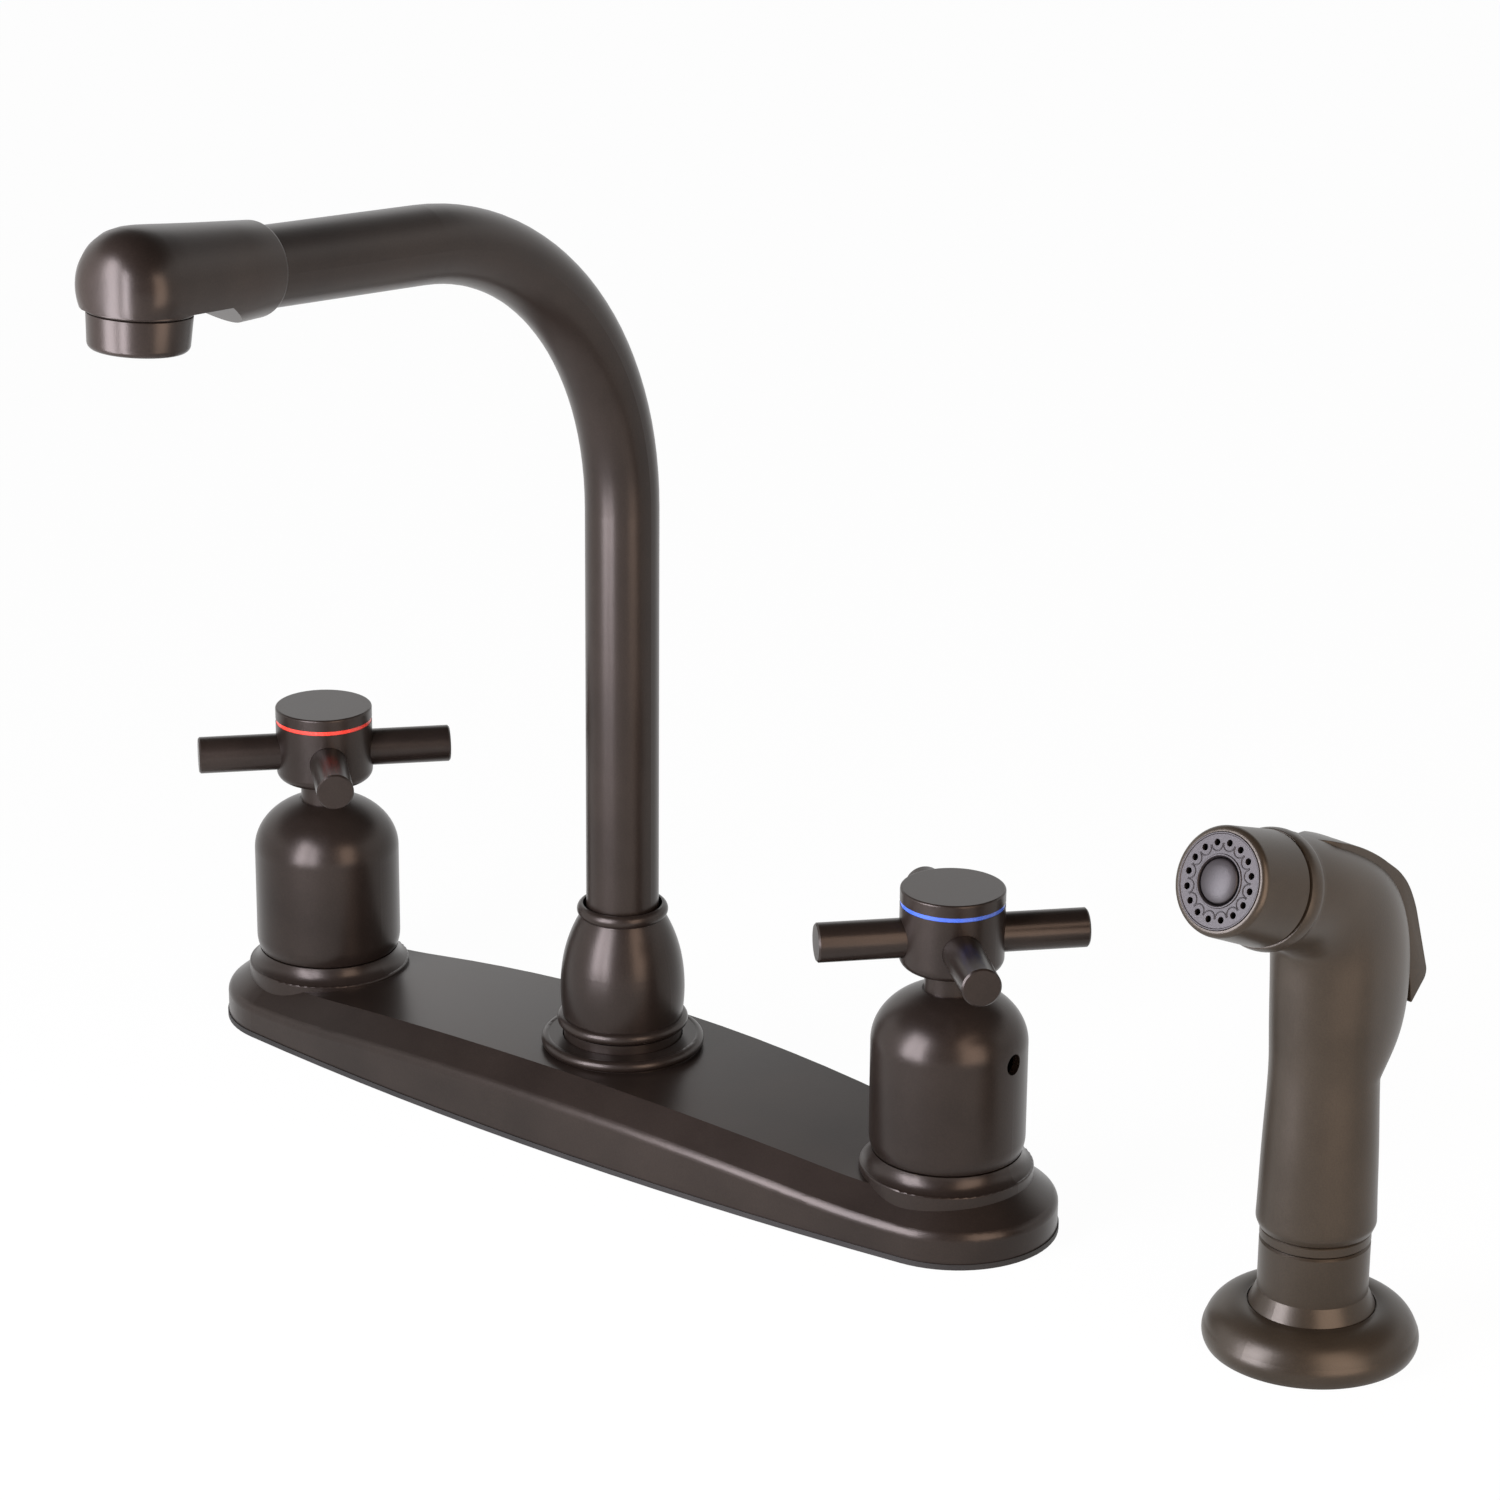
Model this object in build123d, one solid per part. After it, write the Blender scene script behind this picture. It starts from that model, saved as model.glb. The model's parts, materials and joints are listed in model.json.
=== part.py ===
from build123d import *
import math
import os

# Two handle kitchen faucet with a side sprayer. Millimetres, +Z up.
# The origin lies on the sink deck, midway between the two handle axes.
# +X runs to the cold handle, -Y towards the user and along the spout.

# ---------- deck plate ----------
handle_spacing = 203.2          # supply shank to supply shank, 8 inches
end_beyond_handle = 2.4         # centre of each round end, past its handle axis
end_radius = 25.4
plate_half_width = 31.2         # at the spout
plate_end_height = 14.2         # flat top round the handles
plate_crown = 5.3               # how much higher the top is at the spout
crown_radius = 790.0
crown_stop = 21.6               # the crown turns to run level this far inside each handle axis
band_width = 7.3                # sloped band round the top, seen in plan
band_drop = 5.9
ridge_radius = 3.0
plate_wall = 2.6
plate_roof = 2.8
roof_least_tilt = 0.5           # upward part of a face normal that still counts as roof
side_most_tilt = 0.01           # upward part of a face normal that still counts as side
gasket_thickness = 1.4
gasket_proud = 0.3

# ---------- bell collar, cast on the plate ----------
collar_radius = 21.2
collar_top_radius = 18.3
collar_rise = 5.8               # above the flat top of the plate
collar_lip_rise = 1.6
collar_lip_round = 0.5
collar_flare = 4.6

# ---------- spout collar, cast on the plate ----------
spout_collar_radius = 20.6
spout_collar_bead = 1.9
spout_collar_rise = 0.8         # bead centre above the crown
spout_collar_undercut = 0.7

# ---------- supply shanks and valve bodies ----------
shank_radius = 10.45            # half inch pipe thread, outside
shank_below_deck = 52.0
shank_relief_width = 2.0        # thread relief between the lock nut and the supply end
shank_relief_depth = 0.8
waterway_radius = 5.5
boss_radius = 12.0
boss_wall = 2.2
boss_fit = 0.3                  # boss to the hole in the plate
body_flange = 2.5
body_underside = 0.6            # flange above the gasket
seat_height = 4.0               # bottom of the cartridge chamber
boss_thread_run = 1.0           # boss above the plate nut
plate_nut_across = 27.0
plate_nut_height = 5.0
cross_tube_radius = 4.5
cross_tube_wall = 1.2
cross_tube_height = 6.4
tube_socket = 4.5               # depth of the brazed sockets
braze_gap = 0.05

# ---------- clamping below the sink deck ----------
sink_thickness = 20.0
washer_thickness = 2.0
washer_radius = 17.0
locknut_across = 32.0
locknut_height = 8.0
thread_gap = 0.05
loose_gap = 0.4

# ---------- cartridge ----------
seal_height = 2.0
seal_bore = 5.8
disc_thickness = 2.95
disc_film = 0.05                # between the two ceramic discs
disc_radius = 8.3
port_inner = 2.4
port_outer = 6.6
port_angle = 76.0
cartridge_bore = 8.6
cartridge_radius = 9.0
cartridge_window = 3.0
cartridge_across = 19.0
cartridge_hex_height = 5.0
cartridge_neck = 7.0
stem_radius = 4.3
stem_fit = 0.06
stem_flange = 2.2
stem_end_play = 0.3
cartridge_to_bell = 4.2         # neck top to the hub inside the bell

# ---------- handles ----------
bell_gap = 0.5                  # bell above its collar
bell_radius = 19.0
bell_foot_radius = 18.3
bell_foot_height = 3.6
bell_side = 27.5                # straight side and foot together
bell_dome = 14.5
bell_wall = 1.9
bell_hub_radius = 7.6
bell_hub_crown = 8.0            # solid metal under the neck
neck_seat_radius = 6.9
neck_radius = 6.4
neck_height = 6.0
set_screw_height = 26.2         # above the foot of the bell
set_screw_radius = 2.5
set_screw_length = 4.0
set_screw_access = 2.6
hub_skirt = 5.5                 # bell hub below the set screw
hub_radius = 12.64
hub_height = 15.9
hub_edge = 2.6
hub_well_radius = 9.2
hub_floor = 13.0                # from the underside up to the screw head
index_thickness = 1.05
index_inset = 0.14
cap_thickness = 3.05
cap_edge = 0.5
cap_skirt_wall = 1.6
cap_skirt = 2.2
arm_radius = 4.8
arm_reach = 33.0
arm_height = 7.7                # above the underside of the hub
arm_count = 4
arm_turn = 2.8                  # how far the handles stand past 45 degrees
arm_edge = 0.4
arm_socket_radius = 9.8
arm_spigot_radius = 3.0
arm_spigot_end = 6.0
handle_screw_radius = 2.5
handle_screw_head = 4.4
handle_screw_head_height = 2.6
handle_screw_grip = 5.5         # thread in the bell
handle_screw_socket = 4.0       # across the flats
handle_screw_socket_floor = 1.0

# ---------- spout foot ----------
post_flange_radius = 18.0
post_neck_radius = 15.0
post_thread_radius = 13.0
post_tail_radius = 10.0
post_tail = 8.0                 # below the deck
post_above_vase_foot = 15.0
post_to_vase = 0.4
post_plate_fit = 0.3
o_ring_section = 0.8
o_ring_squeeze = 0.05
o_ring_pitch = 5.0
spout_end_height = 14.3
spout_fit = 0.1
spout_fitting = 16.0            # thick brazed end of the tube
spout_fitting_bore = 5.5
ring_groove_depth = 0.9
retaining_ring_radius = 11.8
retaining_ring_thickness = 1.5
retaining_ring_opening = 70.0
swivel_gap = 0.3
bushing_height = 2.4
vase_gap = 2.8                  # dark gap between spout collar and vase
vase_height = 32.8
vase_bead_radius = 16.6
vase_bead_height = 3.0
vase_foot_radius = 15.2
vase_belly_radius = 15.74
vase_belly_height = 10.3
vase_shoulder_height = 17.0
vase_neck_radius = 10.7
vase_neck_height = 29.6
vase_top_radius = 11.5
vase_top_bead = 1.8
vase_opening = 10.0
vase_top_flat = 0.5
diverter_radius = 7.9
diverter_fit = 0.1
diverter_stem_radius = 3.0
diverter_port = 1.2
outlet_radius = 6.6
outlet_bore = 4.0
outlet_below_tail = 18.0
outlet_grip = 10.0
outlet_across = 17.0
outlet_hex_height = 5.0

# ---------- spout ----------
spout_radius = 9.15
spout_wall = 1.2
spout_straight = 161.5          # height where the bend starts
spout_bend_radius = 79.7
spout_rise = 5.25               # degrees, of the run towards the head
spout_reach = 160.5
head_rear = 34.6                # along the run, from the elbow centre
head_rear_radius = 10.1
head_mid_back = 18.6
head_mid_radius = 10.95
head_neck_back = 6.5
head_neck_radius = 11.9
head_radius = 13.0
head_edge = 1.2
head_flat = 5.2                 # underside below the axis
head_ramp = 30.0                # degrees
head_rim = 0.6
head_rim_radius = 12.0
tube_in_head = 5.5
head_bore = 6.0
head_bore_lift = 2.4            # bore centre above the axis, clear of the flat underside
outlet_chamber = 8.0
aerator_seam = 0.2
aerator_height = 8.0
aerator_top_radius = 11.4
aerator_bottom_radius = 10.3
aerator_edge = 2.4
aerator_bore = 8.8
aerator_lip = 1.2
aerator_lip_height = 1.2
aerator_thread_radius = 9.8
aerator_thread = 3.4
insert_height = 7.5
insert_fit = 0.1
insert_hole_radius = 0.9
insert_rows = ((0.0, 1), (2.9, 6), (5.8, 12))   # circle of holes and how many
insert_floor = 1.6
insert_wall = 0.8
aerator_washer_thickness = 1.4
aerator_washer_bore = 6.6

# ---------- sprayer foot ----------
sprayer_x = 204.0
sprayer_y = 1.9
sprayer_turn = -97.57           # degrees about Z; nozzle mostly towards the user
flange_radius = 25.0
flange_foot_radius = 24.3
flange_belly_height = 2.2
flange_shoulder_radius = 24.4
flange_shoulder_height = 4.8
flange_dome_radius = 21.5
flange_dome_height = 8.8
flange_inner_radius = 15.2
flange_height = 10.3
flange_recess = 0.9
holder_fit = 0.3
skirt_radius = 14.6
skirt_height = 3.9
holder_radius = 12.8
holder_top = 26.7
holder_edge = 0.5
holder_shank_radius = 11.5
holder_shank = 40.0             # below the deck
holder_bore = 9.5
holder_cup_radius = 10.8
holder_cup_depth = 7.4
holder_washer_radius = 19.0
holder_nut_across = 34.0

# ---------- hose coupling ----------
coupling_gap = 0.3
coupling_height = 2.5
coupling_edge = 0.3
plug_radius = 10.4
plug_depth = 6.4
stud_radius = 6.0
stud_height = 8.0
stud_fit = 0.06
coupling_bore = 2.6
nipple_radius = 3.5
nipple_bore = 2.2
nipple_grip = 8.0
nipple_length = 14.0
barb_radius = 4.4
barb_length = 2.5
barb_pitch = 3.0
barb_count = 3

# ---------- sprayer body ----------
grip_foot_radius = 13.2
grip_heel_radius = 13.9
grip_heel_height = 4.0
grip_belly_radius = 13.4
grip_belly_height = 20.0
grip_waist_radius = 12.7
grip_height = 36.6
body_half_width = 13.2
palm_low_rise = 5.6
palm_low_reach = 15.9
palm_low_back = -3.4
palm_rise = 12.5
palm_reach = 18.7
palm_back = -4.8
palm_top_rise = 27.0
crotch_low = (14.0, 99.6)
crotch_mid = (15.6, 101.2)
crotch_top = (18.2, 103.4)
crest_low = (-16.4, 109.6)
crest_mid = (-5.0, 118.6)
crest_top = (8.2, 126.2)
face_reach = 40.57              # spray face centre, from the grip axis
face_height = 125.2
nozzle_angle = 21.13            # degrees above level
body_front = 15.9               # end of the body behind the spray face
lip_back = 18.0
lip_radius = 13.9
lip_face_radius = 13.3
head_joint = 20.4
head_joint_radius = 13.4

# ---------- nozzle ----------
nozzle_rim_radius = 12.4
nozzle_root_radius = 13.1
nozzle_seam = 0.6
nozzle_round = 1.7
nozzle_lip = 0.1                # flat edge round the spray face
nozzle_thread_radius = 10.4
nozzle_thread = 8.0
nozzle_fit = 0.1
nozzle_bore = 9.2
face_radius = 10.75
face_fit = 0.15
face_thickness = 3.0
jet_count = 16
jet_circle = 8.6
jet_radius = 0.75
cap_seat_radius = 5.3
face_cap_radius = 5.1
face_cap_rise = 0.9
face_cap_depth = 1.0

# ---------- lever and valve ----------
lever_half_width = 5.0
lever_clearance = 0.4
lever_press = 5.0               # degrees
lever_crest = ((14.4, 129.3), (4.4, 126.3), (-6.7, 121.8), (-19.0, 112.0), (-23.6, 105.0),
               (-29.8, 85.7))
lever_heel = (-29.6, 84.2)
lever_tip = (-25.2, 79.4)
lever_floor = ((-24.2, 83.5), (-19.4, 103.0), (-15.5, 108.6), (-4.5, 117.2), (4.0, 121.0),
               (13.6, 124.8))
lever_edge = 1.0
pin_place = (4.0, 121.5)
pin_radius = 1.5
pin_fit = 0.06
pin_boss = 3.2
pin_overhang = 2.6
plunger_back = -7.0
plunger_tip_radius = 2.2
plunger_stem_radius = 1.6
plunger_fit = 0.08
plunger_gap = 0.3
plunger_travel = 1.62
spring_seat_radius = 3.7
spring_seat_height = 1.4
spring_seat_drop = 3.6          # below the centre of the plunger tip
spring_wire = 0.35
spring_radius = 2.8
spring_turns = 4
spring_pocket_radius = 4.4
spring_pocket_depth = 8.6
spring_seating = 0.05
chamber_radius = 5.5
chamber_bottom = 68.0
chamber_height = 15.0
poppet_radius = 4.0
poppet_height = 2.0
throat_radius = 2.6
throat_height = 5.0
duct_radius = 2.2
inlet_radius = 3.0
inlet_back = -2.5

# ---------- sizes that follow ----------
handle_x = handle_spacing / 2
end_x = handle_x + end_beyond_handle
plate_top = plate_end_height + plate_crown
collar_top = plate_end_height + collar_rise
boss_top = collar_top + plate_nut_height + boss_thread_run
locknut_bottom = -sink_thickness - washer_thickness - locknut_height
chamber_wall = boss_radius - boss_wall
flange_bottom = gasket_thickness + body_underside
plate_ceiling = plate_end_height - plate_roof
seal_top = seat_height + seal_height
fixed_top = seal_top + braze_gap + disc_thickness
moving_bottom = fixed_top + disc_film
moving_top = moving_bottom + disc_thickness
stem_shoulder = moving_top + stem_flange
cartridge_ceiling = stem_shoulder + stem_end_play

bell_bottom = collar_top + bell_gap
bell_spring = bell_bottom + bell_side
neck_bottom = bell_spring + bell_dome * math.sqrt(1 - (neck_seat_radius / bell_radius) ** 2)
set_screw_z = bell_bottom + set_screw_height
bell_hub_bottom = set_screw_z - hub_skirt
stem_top = neck_bottom - bell_hub_crown
cartridge_top = bell_hub_bottom - cartridge_to_bell
hub_bottom = neck_bottom + neck_height
hub_top = hub_bottom + hub_height
well_floor = hub_bottom + hub_floor
index_top = hub_top + index_thickness
cap_top = index_top + cap_thickness
arm_z = hub_bottom + arm_height

spout_collar_top = plate_top + spout_collar_rise + spout_collar_bead
vase_bottom = spout_collar_top + vase_gap
post_neck_top = vase_bottom - post_to_vase
post_top = vase_bottom + post_above_vase_foot
ring_bottom = post_top + swivel_gap
ring_top = ring_bottom + retaining_ring_thickness
bushing_bottom = ring_top + swivel_gap
bushing_top = bushing_bottom + bushing_height
post_bore = spout_radius + spout_fit
tail_bottom = -post_tail
diverter_bore = diverter_radius + diverter_fit

holder_bottom = flange_height - flange_recess
coupling_bottom = holder_top + coupling_gap
coupling_top = coupling_bottom + coupling_height
grip_bottom = coupling_top + coupling_gap
grip_top = grip_bottom + grip_height
palm_top = grip_top + palm_top_rise
tip_line = math.atan2(lever_floor[3][1] - lever_floor[2][1], lever_floor[3][0] - lever_floor[2][0])
floor_over_plunger = lever_floor[2][1] + (plunger_back - lever_floor[2][0]) * math.tan(tip_line)
plunger_centre = floor_over_plunger - (plunger_tip_radius + plunger_gap) / math.cos(tip_line)
spring_top = plunger_centre - spring_seat_drop - spring_seat_height
spring_bottom = spring_top - (spring_pocket_depth - plunger_travel)
poppet_top = chamber_bottom + chamber_height - plunger_gap
tube_end = tube_in_head - head_rear
aerator_top = -head_flat - head_rim - aerator_seam
aerator_bottom = aerator_top - aerator_height
aerator_thread_top = aerator_top + aerator_thread
washer_top = aerator_thread_top + aerator_washer_thickness


# ---------- shapes used throughout ----------
def disc(radius, bottom, top):
    """Upright cylinder between two heights."""
    return Pos(0, 0, bottom) * Cylinder(radius, top - bottom, align=(Align.CENTER, Align.CENTER, Align.MIN))


def ring(outer, inner, bottom, top):
    return disc(outer, bottom, top) - disc(inner, bottom, top)


def hexagon(across, bottom, top):
    """Upright hexagonal prism, given its size across the flats."""
    return Pos(0, 0, bottom) * extrude(RegularPolygon(across / 2, 6, major_radius=False), top - bottom)


def turned(*lines):
    """Solid turned about Z from a closed outline of radius against height."""
    edges = [edge for line in lines for edge in line.edges()]
    return revolve(Plane.XZ * make_face(edges), Axis.Z)


def side_prism(outline, half_width):
    """Prism across Y of a flat outline drawn in X and Z."""
    return extrude(Plane.XZ * outline, half_width, both=True)


def swivelled(point, centre, degrees):
    """A point of the XZ plane turned about a centre."""
    angle = math.radians(degrees)
    across = point[0] - centre[0]
    up = point[1] - centre[1]
    return (centre[0] + across * math.cos(angle) - up * math.sin(angle),
            centre[1] + across * math.sin(angle) + up * math.cos(angle))


# ---------- deck plate and gasket ----------
def plate_outline(inset):
    """Plan of the plate: two round ends joined by long bowed sides that run tangent into them."""
    end = end_radius - inset
    half = plate_half_width - inset
    bow = (end_x ** 2 + half ** 2 - end ** 2) / (2 * (half - end))
    reach = bow / (bow - end)
    side_x = end_x * reach
    side_y = (bow - half) * (reach - 1)
    front = ThreePointArc((-side_x, -side_y), (0, -half), (side_x, -side_y))
    right = ThreePointArc((side_x, -side_y), (end_x + end, 0), (side_x, side_y))
    back = ThreePointArc((side_x, side_y), (0, half), (-side_x, side_y))
    left = ThreePointArc((-side_x, side_y), (-end_x - end, 0), (-side_x, -side_y))
    return make_face([front.edge(), right.edge(), back.edge(), left.edge()])


def crown_profile(level):
    """Side outline of the plate: a long crown that eases into level ends."""
    top = level + plate_crown
    turn_x = handle_x - crown_stop
    slope = math.asin(turn_x / crown_radius)
    turn_z = top - crown_radius * (1 - math.cos(slope))
    ease = (turn_z - level) / (1 - math.cos(slope))
    level_x = turn_x + ease * math.sin(slope)
    ease_mid = (level_x - ease * math.sin(slope / 2), level + ease * (1 - math.cos(slope / 2)))
    length = end_x + end_radius
    lines = [
        Line((-length, level), (-level_x, level)),
        ThreePointArc((-level_x, level), (-ease_mid[0], ease_mid[1]), (-turn_x, turn_z)),
        ThreePointArc((-turn_x, turn_z), (0, top), (turn_x, turn_z)),
        ThreePointArc((turn_x, turn_z), ease_mid, (level_x, level)),
        Polyline((level_x, level), (length, level), (length, gasket_thickness), (-length, gasket_thickness),
                 (-length, level))]
    return make_face([edge for line in lines for edge in line.edges()])


def crowned_slab(inset, drop):
    """Slab with a crowned top and a sloped band all round it."""
    crown = side_prism(crown_profile(plate_end_height - drop), plate_half_width)
    slab = (Pos(0, 0, gasket_thickness) * extrude(plate_outline(inset), plate_top)) & crown
    roof = slab.faces().filter_by(lambda face: face.normal_at().Z > roof_least_tilt)
    rim = [edge for face in roof for edge in face.edges() if edge.geom_type != GeomType.LINE]
    return chamfer(rim, band_width, band_drop)


def bell_collar():
    """Flared collar under a bell, turned about the handle axis."""
    lip = plate_end_height + collar_lip_rise
    flare_end = (collar_radius - collar_lip_round, lip + collar_lip_round)
    return turned(
        Line((0, plate_ceiling), (collar_radius, plate_ceiling)),
        Line((collar_radius, plate_ceiling), (collar_radius, lip)),
        RadiusArc((collar_radius, lip), flare_end, -collar_lip_round),
        RadiusArc(flare_end, (collar_top_radius, collar_top), collar_flare),
        Polyline((collar_top_radius, collar_top), (0, collar_top), (0, plate_ceiling)))


def spout_collar():
    """Round bead that stands on the crown round the spout foot."""
    centre = spout_collar_radius - spout_collar_bead
    middle = plate_top + spout_collar_rise
    foot = plate_top - plate_roof / 2
    waist = spout_collar_radius - spout_collar_undercut
    return turned(
        Polyline((0, spout_collar_top), (0, foot), (waist, foot), (waist, plate_top)),
        ThreePointArc((waist, plate_top), (spout_collar_radius, middle), (centre, spout_collar_top)),
        Line((centre, spout_collar_top), (0, spout_collar_top)))


def deck_plate():
    plate = crowned_slab(0, 0)
    sides = plate.faces().filter_by(lambda face: abs(face.normal_at().Z) < side_most_tilt)
    plate = fillet([side.edges().sort_by(Axis.Z)[-1] for side in sides], ridge_radius)
    for side in (-1, 1):
        plate += Pos(side * handle_x, 0) * bell_collar()
    plate += spout_collar()
    plate -= crowned_slab(plate_wall, plate_roof)
    for side in (-1, 1):
        plate -= Pos(side * handle_x, 0) * disc(boss_radius + boss_fit, 0, boss_top)
    return plate - disc(post_neck_radius + post_plate_fit, 0, vase_bottom)


def deck_gasket():
    pad = extrude(plate_outline(-gasket_proud), gasket_thickness)
    for side in (-1, 1):
        pad -= Pos(side * handle_x, 0) * disc(shank_radius + loose_gap, 0, gasket_thickness)
    return pad - disc(post_tail_radius + loose_gap, 0, gasket_thickness)


# ---------- brass work under the plate ----------
def valve_body(side):
    """Shank, flange and boss in one piece, with the chamber for the cartridge."""
    body = disc(shank_radius, -shank_below_deck, flange_bottom)
    body -= ring(2 * shank_radius, shank_radius - shank_relief_depth, locknut_bottom - shank_relief_width,
                 locknut_bottom)
    body += disc(boss_radius + body_flange, flange_bottom, plate_ceiling - boss_fit)
    body += disc(boss_radius, plate_ceiling - boss_fit, boss_top)
    body -= disc(waterway_radius, -shank_below_deck, seat_height)
    body -= disc(chamber_wall, seat_height, boss_top)
    outer = -side * (boss_radius + body_flange)
    socket = outer + side * tube_socket
    body -= cross_bore(outer, socket, cross_tube_radius + braze_gap)
    body -= cross_bore(outer, 0, cross_tube_radius - cross_tube_wall)
    return Pos(side * handle_x, 0) * body


def cross_bore(start, end, radius):
    """Cylinder along X at the height of the cross tubes."""
    middle = (start + end) / 2
    return Pos(middle, 0, cross_tube_height) * Rot(0, 90, 0) * Cylinder(radius, abs(end - start))


def centre_post():
    """Post that carries the spout, with the diverter chamber and the sprayer outlet below."""
    ceiling = plate_top - plate_roof - post_plate_fit
    post = disc(post_tail_radius, tail_bottom, flange_bottom)
    post += disc(post_flange_radius, flange_bottom, ceiling)
    post += disc(post_neck_radius, ceiling, post_neck_top)
    post += disc(post_thread_radius, post_neck_top, post_top)
    post -= disc(post_bore, spout_end_height - swivel_gap, post_top)
    post -= disc(diverter_bore, seat_height, spout_end_height)
    post -= disc(outlet_radius + thread_gap, tail_bottom, tail_bottom + outlet_grip)
    post -= disc(outlet_bore, tail_bottom, seat_height)
    for side in (-1, 1):
        outer = side * post_flange_radius
        socket = outer - side * tube_socket
        post -= cross_bore(outer, socket, cross_tube_radius + braze_gap)
        post -= cross_bore(outer, 0, cross_tube_radius - cross_tube_wall)
    return post


def cross_tubes():
    start = post_flange_radius - tube_socket + braze_gap
    end = handle_x - boss_radius - body_flange + tube_socket - braze_gap
    tubes = Part()
    for side in (-1, 1):
        outside = cross_bore(side * start, side * end, cross_tube_radius)
        inside = cross_bore(side * start, side * end, cross_tube_radius - cross_tube_wall)
        tubes += outside - inside
    return tubes


def at_both_handles(piece):
    return Pos(-handle_x, 0) * piece + Pos(handle_x, 0) * piece


def shank_washers():
    return at_both_handles(ring(washer_radius, shank_radius + loose_gap, -sink_thickness - washer_thickness,
                                -sink_thickness))


def shank_locknuts():
    top = -sink_thickness - washer_thickness
    nut = hexagon(locknut_across, top - locknut_height, top)
    return at_both_handles(nut - disc(shank_radius + thread_gap, top - locknut_height, top))


def plate_nuts():
    nut = hexagon(plate_nut_across, collar_top, collar_top + plate_nut_height)
    return at_both_handles(nut - disc(boss_radius + thread_gap, collar_top, collar_top + plate_nut_height))


def spray_outlet():
    """Threaded nipple for the sprayer hose, with a spanner hexagon."""
    top = tail_bottom + outlet_grip - thread_gap
    bottom = tail_bottom - outlet_below_tail
    hex_top = tail_bottom - thread_gap
    nipple = disc(outlet_radius, bottom, top)
    nipple += hexagon(outlet_across, hex_top - outlet_hex_height, hex_top)
    return nipple - disc(outlet_bore, bottom, top)


def diverter():
    """Spool that sends water to the sprayer while its valve is open."""
    bottom = seat_height + thread_gap
    top = spout_end_height - 2 * swivel_gap
    spool_height = (top - bottom) / 3
    spool = disc(diverter_stem_radius, bottom, top)
    spool += disc(diverter_radius, bottom, bottom + spool_height)
    spool += disc(diverter_radius, top - spool_height, top)
    for side in (-1, 1):
        spool -= Pos(side * (diverter_radius + diverter_stem_radius) / 2, 0) * disc(diverter_port, bottom, top)
    return spool


# ---------- ceramic cartridge ----------
def seat_seals():
    return at_both_handles(ring(cartridge_radius, seal_bore, seat_height, seal_top))


def ported_disc(bottom, top):
    """Ceramic disc with two quarter ports opposite each other."""
    plate = disc(disc_radius, bottom, top)
    for turn in (0, 180):
        sector = ring(port_outer, port_inner, bottom, top)
        wedge_reach = 2 * port_outer
        half = math.radians(port_angle / 2)
        corner = wedge_reach * math.tan(half)
        wedge = make_face(Polyline((0, 0), (wedge_reach, -corner), (wedge_reach, corner), close=True).edges())
        plate -= Rot(0, 0, turn) * (sector & (Pos(0, 0, bottom) * extrude(wedge, top - bottom)))
    return plate


def cartridge_body(side):
    """Brass sleeve that is screwed into the boss and guides the stem."""
    hex_top = boss_top + cartridge_hex_height
    sleeve = disc(cartridge_radius, seal_top, boss_top)
    sleeve += disc(chamber_wall - thread_gap, collar_top, boss_top)
    sleeve += hexagon(cartridge_across, boss_top, hex_top)
    sleeve += disc(cartridge_neck, hex_top, cartridge_top)
    sleeve -= disc(cartridge_bore, seal_top, cartridge_ceiling)
    sleeve -= disc(stem_radius + stem_fit, cartridge_ceiling, cartridge_top)
    window = Pos(0, 0, moving_bottom) * Box(2 * chamber_wall, 2 * cartridge_window, disc_thickness,
                                            align=(Align.CENTER, Align.CENTER, Align.MIN))
    return Pos(side * handle_x, 0) * (sleeve - window)


# ---------- cross handle ----------
def handle_stem():
    return disc(disc_radius, moving_top, stem_shoulder) + disc(stem_radius, stem_shoulder, stem_top)


def bell(screw_side):
    """Hollow bell with a hub for the stem inside its dome and a side hole for the key."""
    foot = (bell_foot_radius, bell_bottom)
    side_start = (bell_radius, bell_bottom + bell_foot_height)
    side_end = (bell_radius, bell_spring)
    seat_angle = math.degrees(math.asin((neck_bottom - bell_spring) / bell_dome))
    dome = EllipticalCenterArc((0, bell_spring), bell_radius, bell_dome, 0, arc_size=seat_angle)
    shell = turned(
        Line((0, bell_bottom), foot),
        TangentArc(side_start, foot, tangent=(0, -1)),
        Line(side_start, side_end),
        dome,
        Polyline(dome @ 1, (0, neck_bottom), (0, bell_bottom)))
    inner_radius = bell_radius - bell_wall
    inner_dome = EllipticalCenterArc((0, bell_spring), inner_radius, bell_dome - bell_wall, 0, arc_size=90)
    inner_foot = (bell_foot_radius - bell_wall, bell_bottom)
    hollow = turned(
        Line((0, bell_bottom), inner_foot),
        TangentArc((inner_radius, bell_bottom + bell_foot_height), inner_foot, tangent=(0, -1)),
        Line((inner_radius, bell_bottom + bell_foot_height), (inner_radius, bell_spring)),
        inner_dome,
        Line((0, bell_spring + bell_dome - bell_wall), (0, bell_bottom)))
    hollow -= disc(bell_hub_radius, bell_hub_bottom, cap_top)
    body = shell - hollow
    body -= disc(stem_radius + thread_gap, bell_hub_bottom, stem_top + thread_gap)
    body -= disc(handle_screw_radius + thread_gap, neck_bottom - handle_screw_grip, neck_bottom)
    body -= screw_bore(screw_side, set_screw_access, bell_hub_radius, 2 * bell_radius)
    return body - screw_bore(screw_side, set_screw_radius + thread_gap, 0, bell_hub_radius)


def screw_bore(side, radius, start, end):
    """Cylinder along X at the height of the set screw."""
    middle = side * (start + end) / 2
    return Pos(middle, 0, set_screw_z) * Rot(0, 90, 0) * Cylinder(radius, end - start)


def set_screw(side):
    start = stem_radius + thread_gap
    return screw_bore(side, set_screw_radius, start, start + set_screw_length)


def neck():
    return ring(neck_radius, handle_screw_radius + thread_gap, neck_bottom, hub_bottom)


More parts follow.
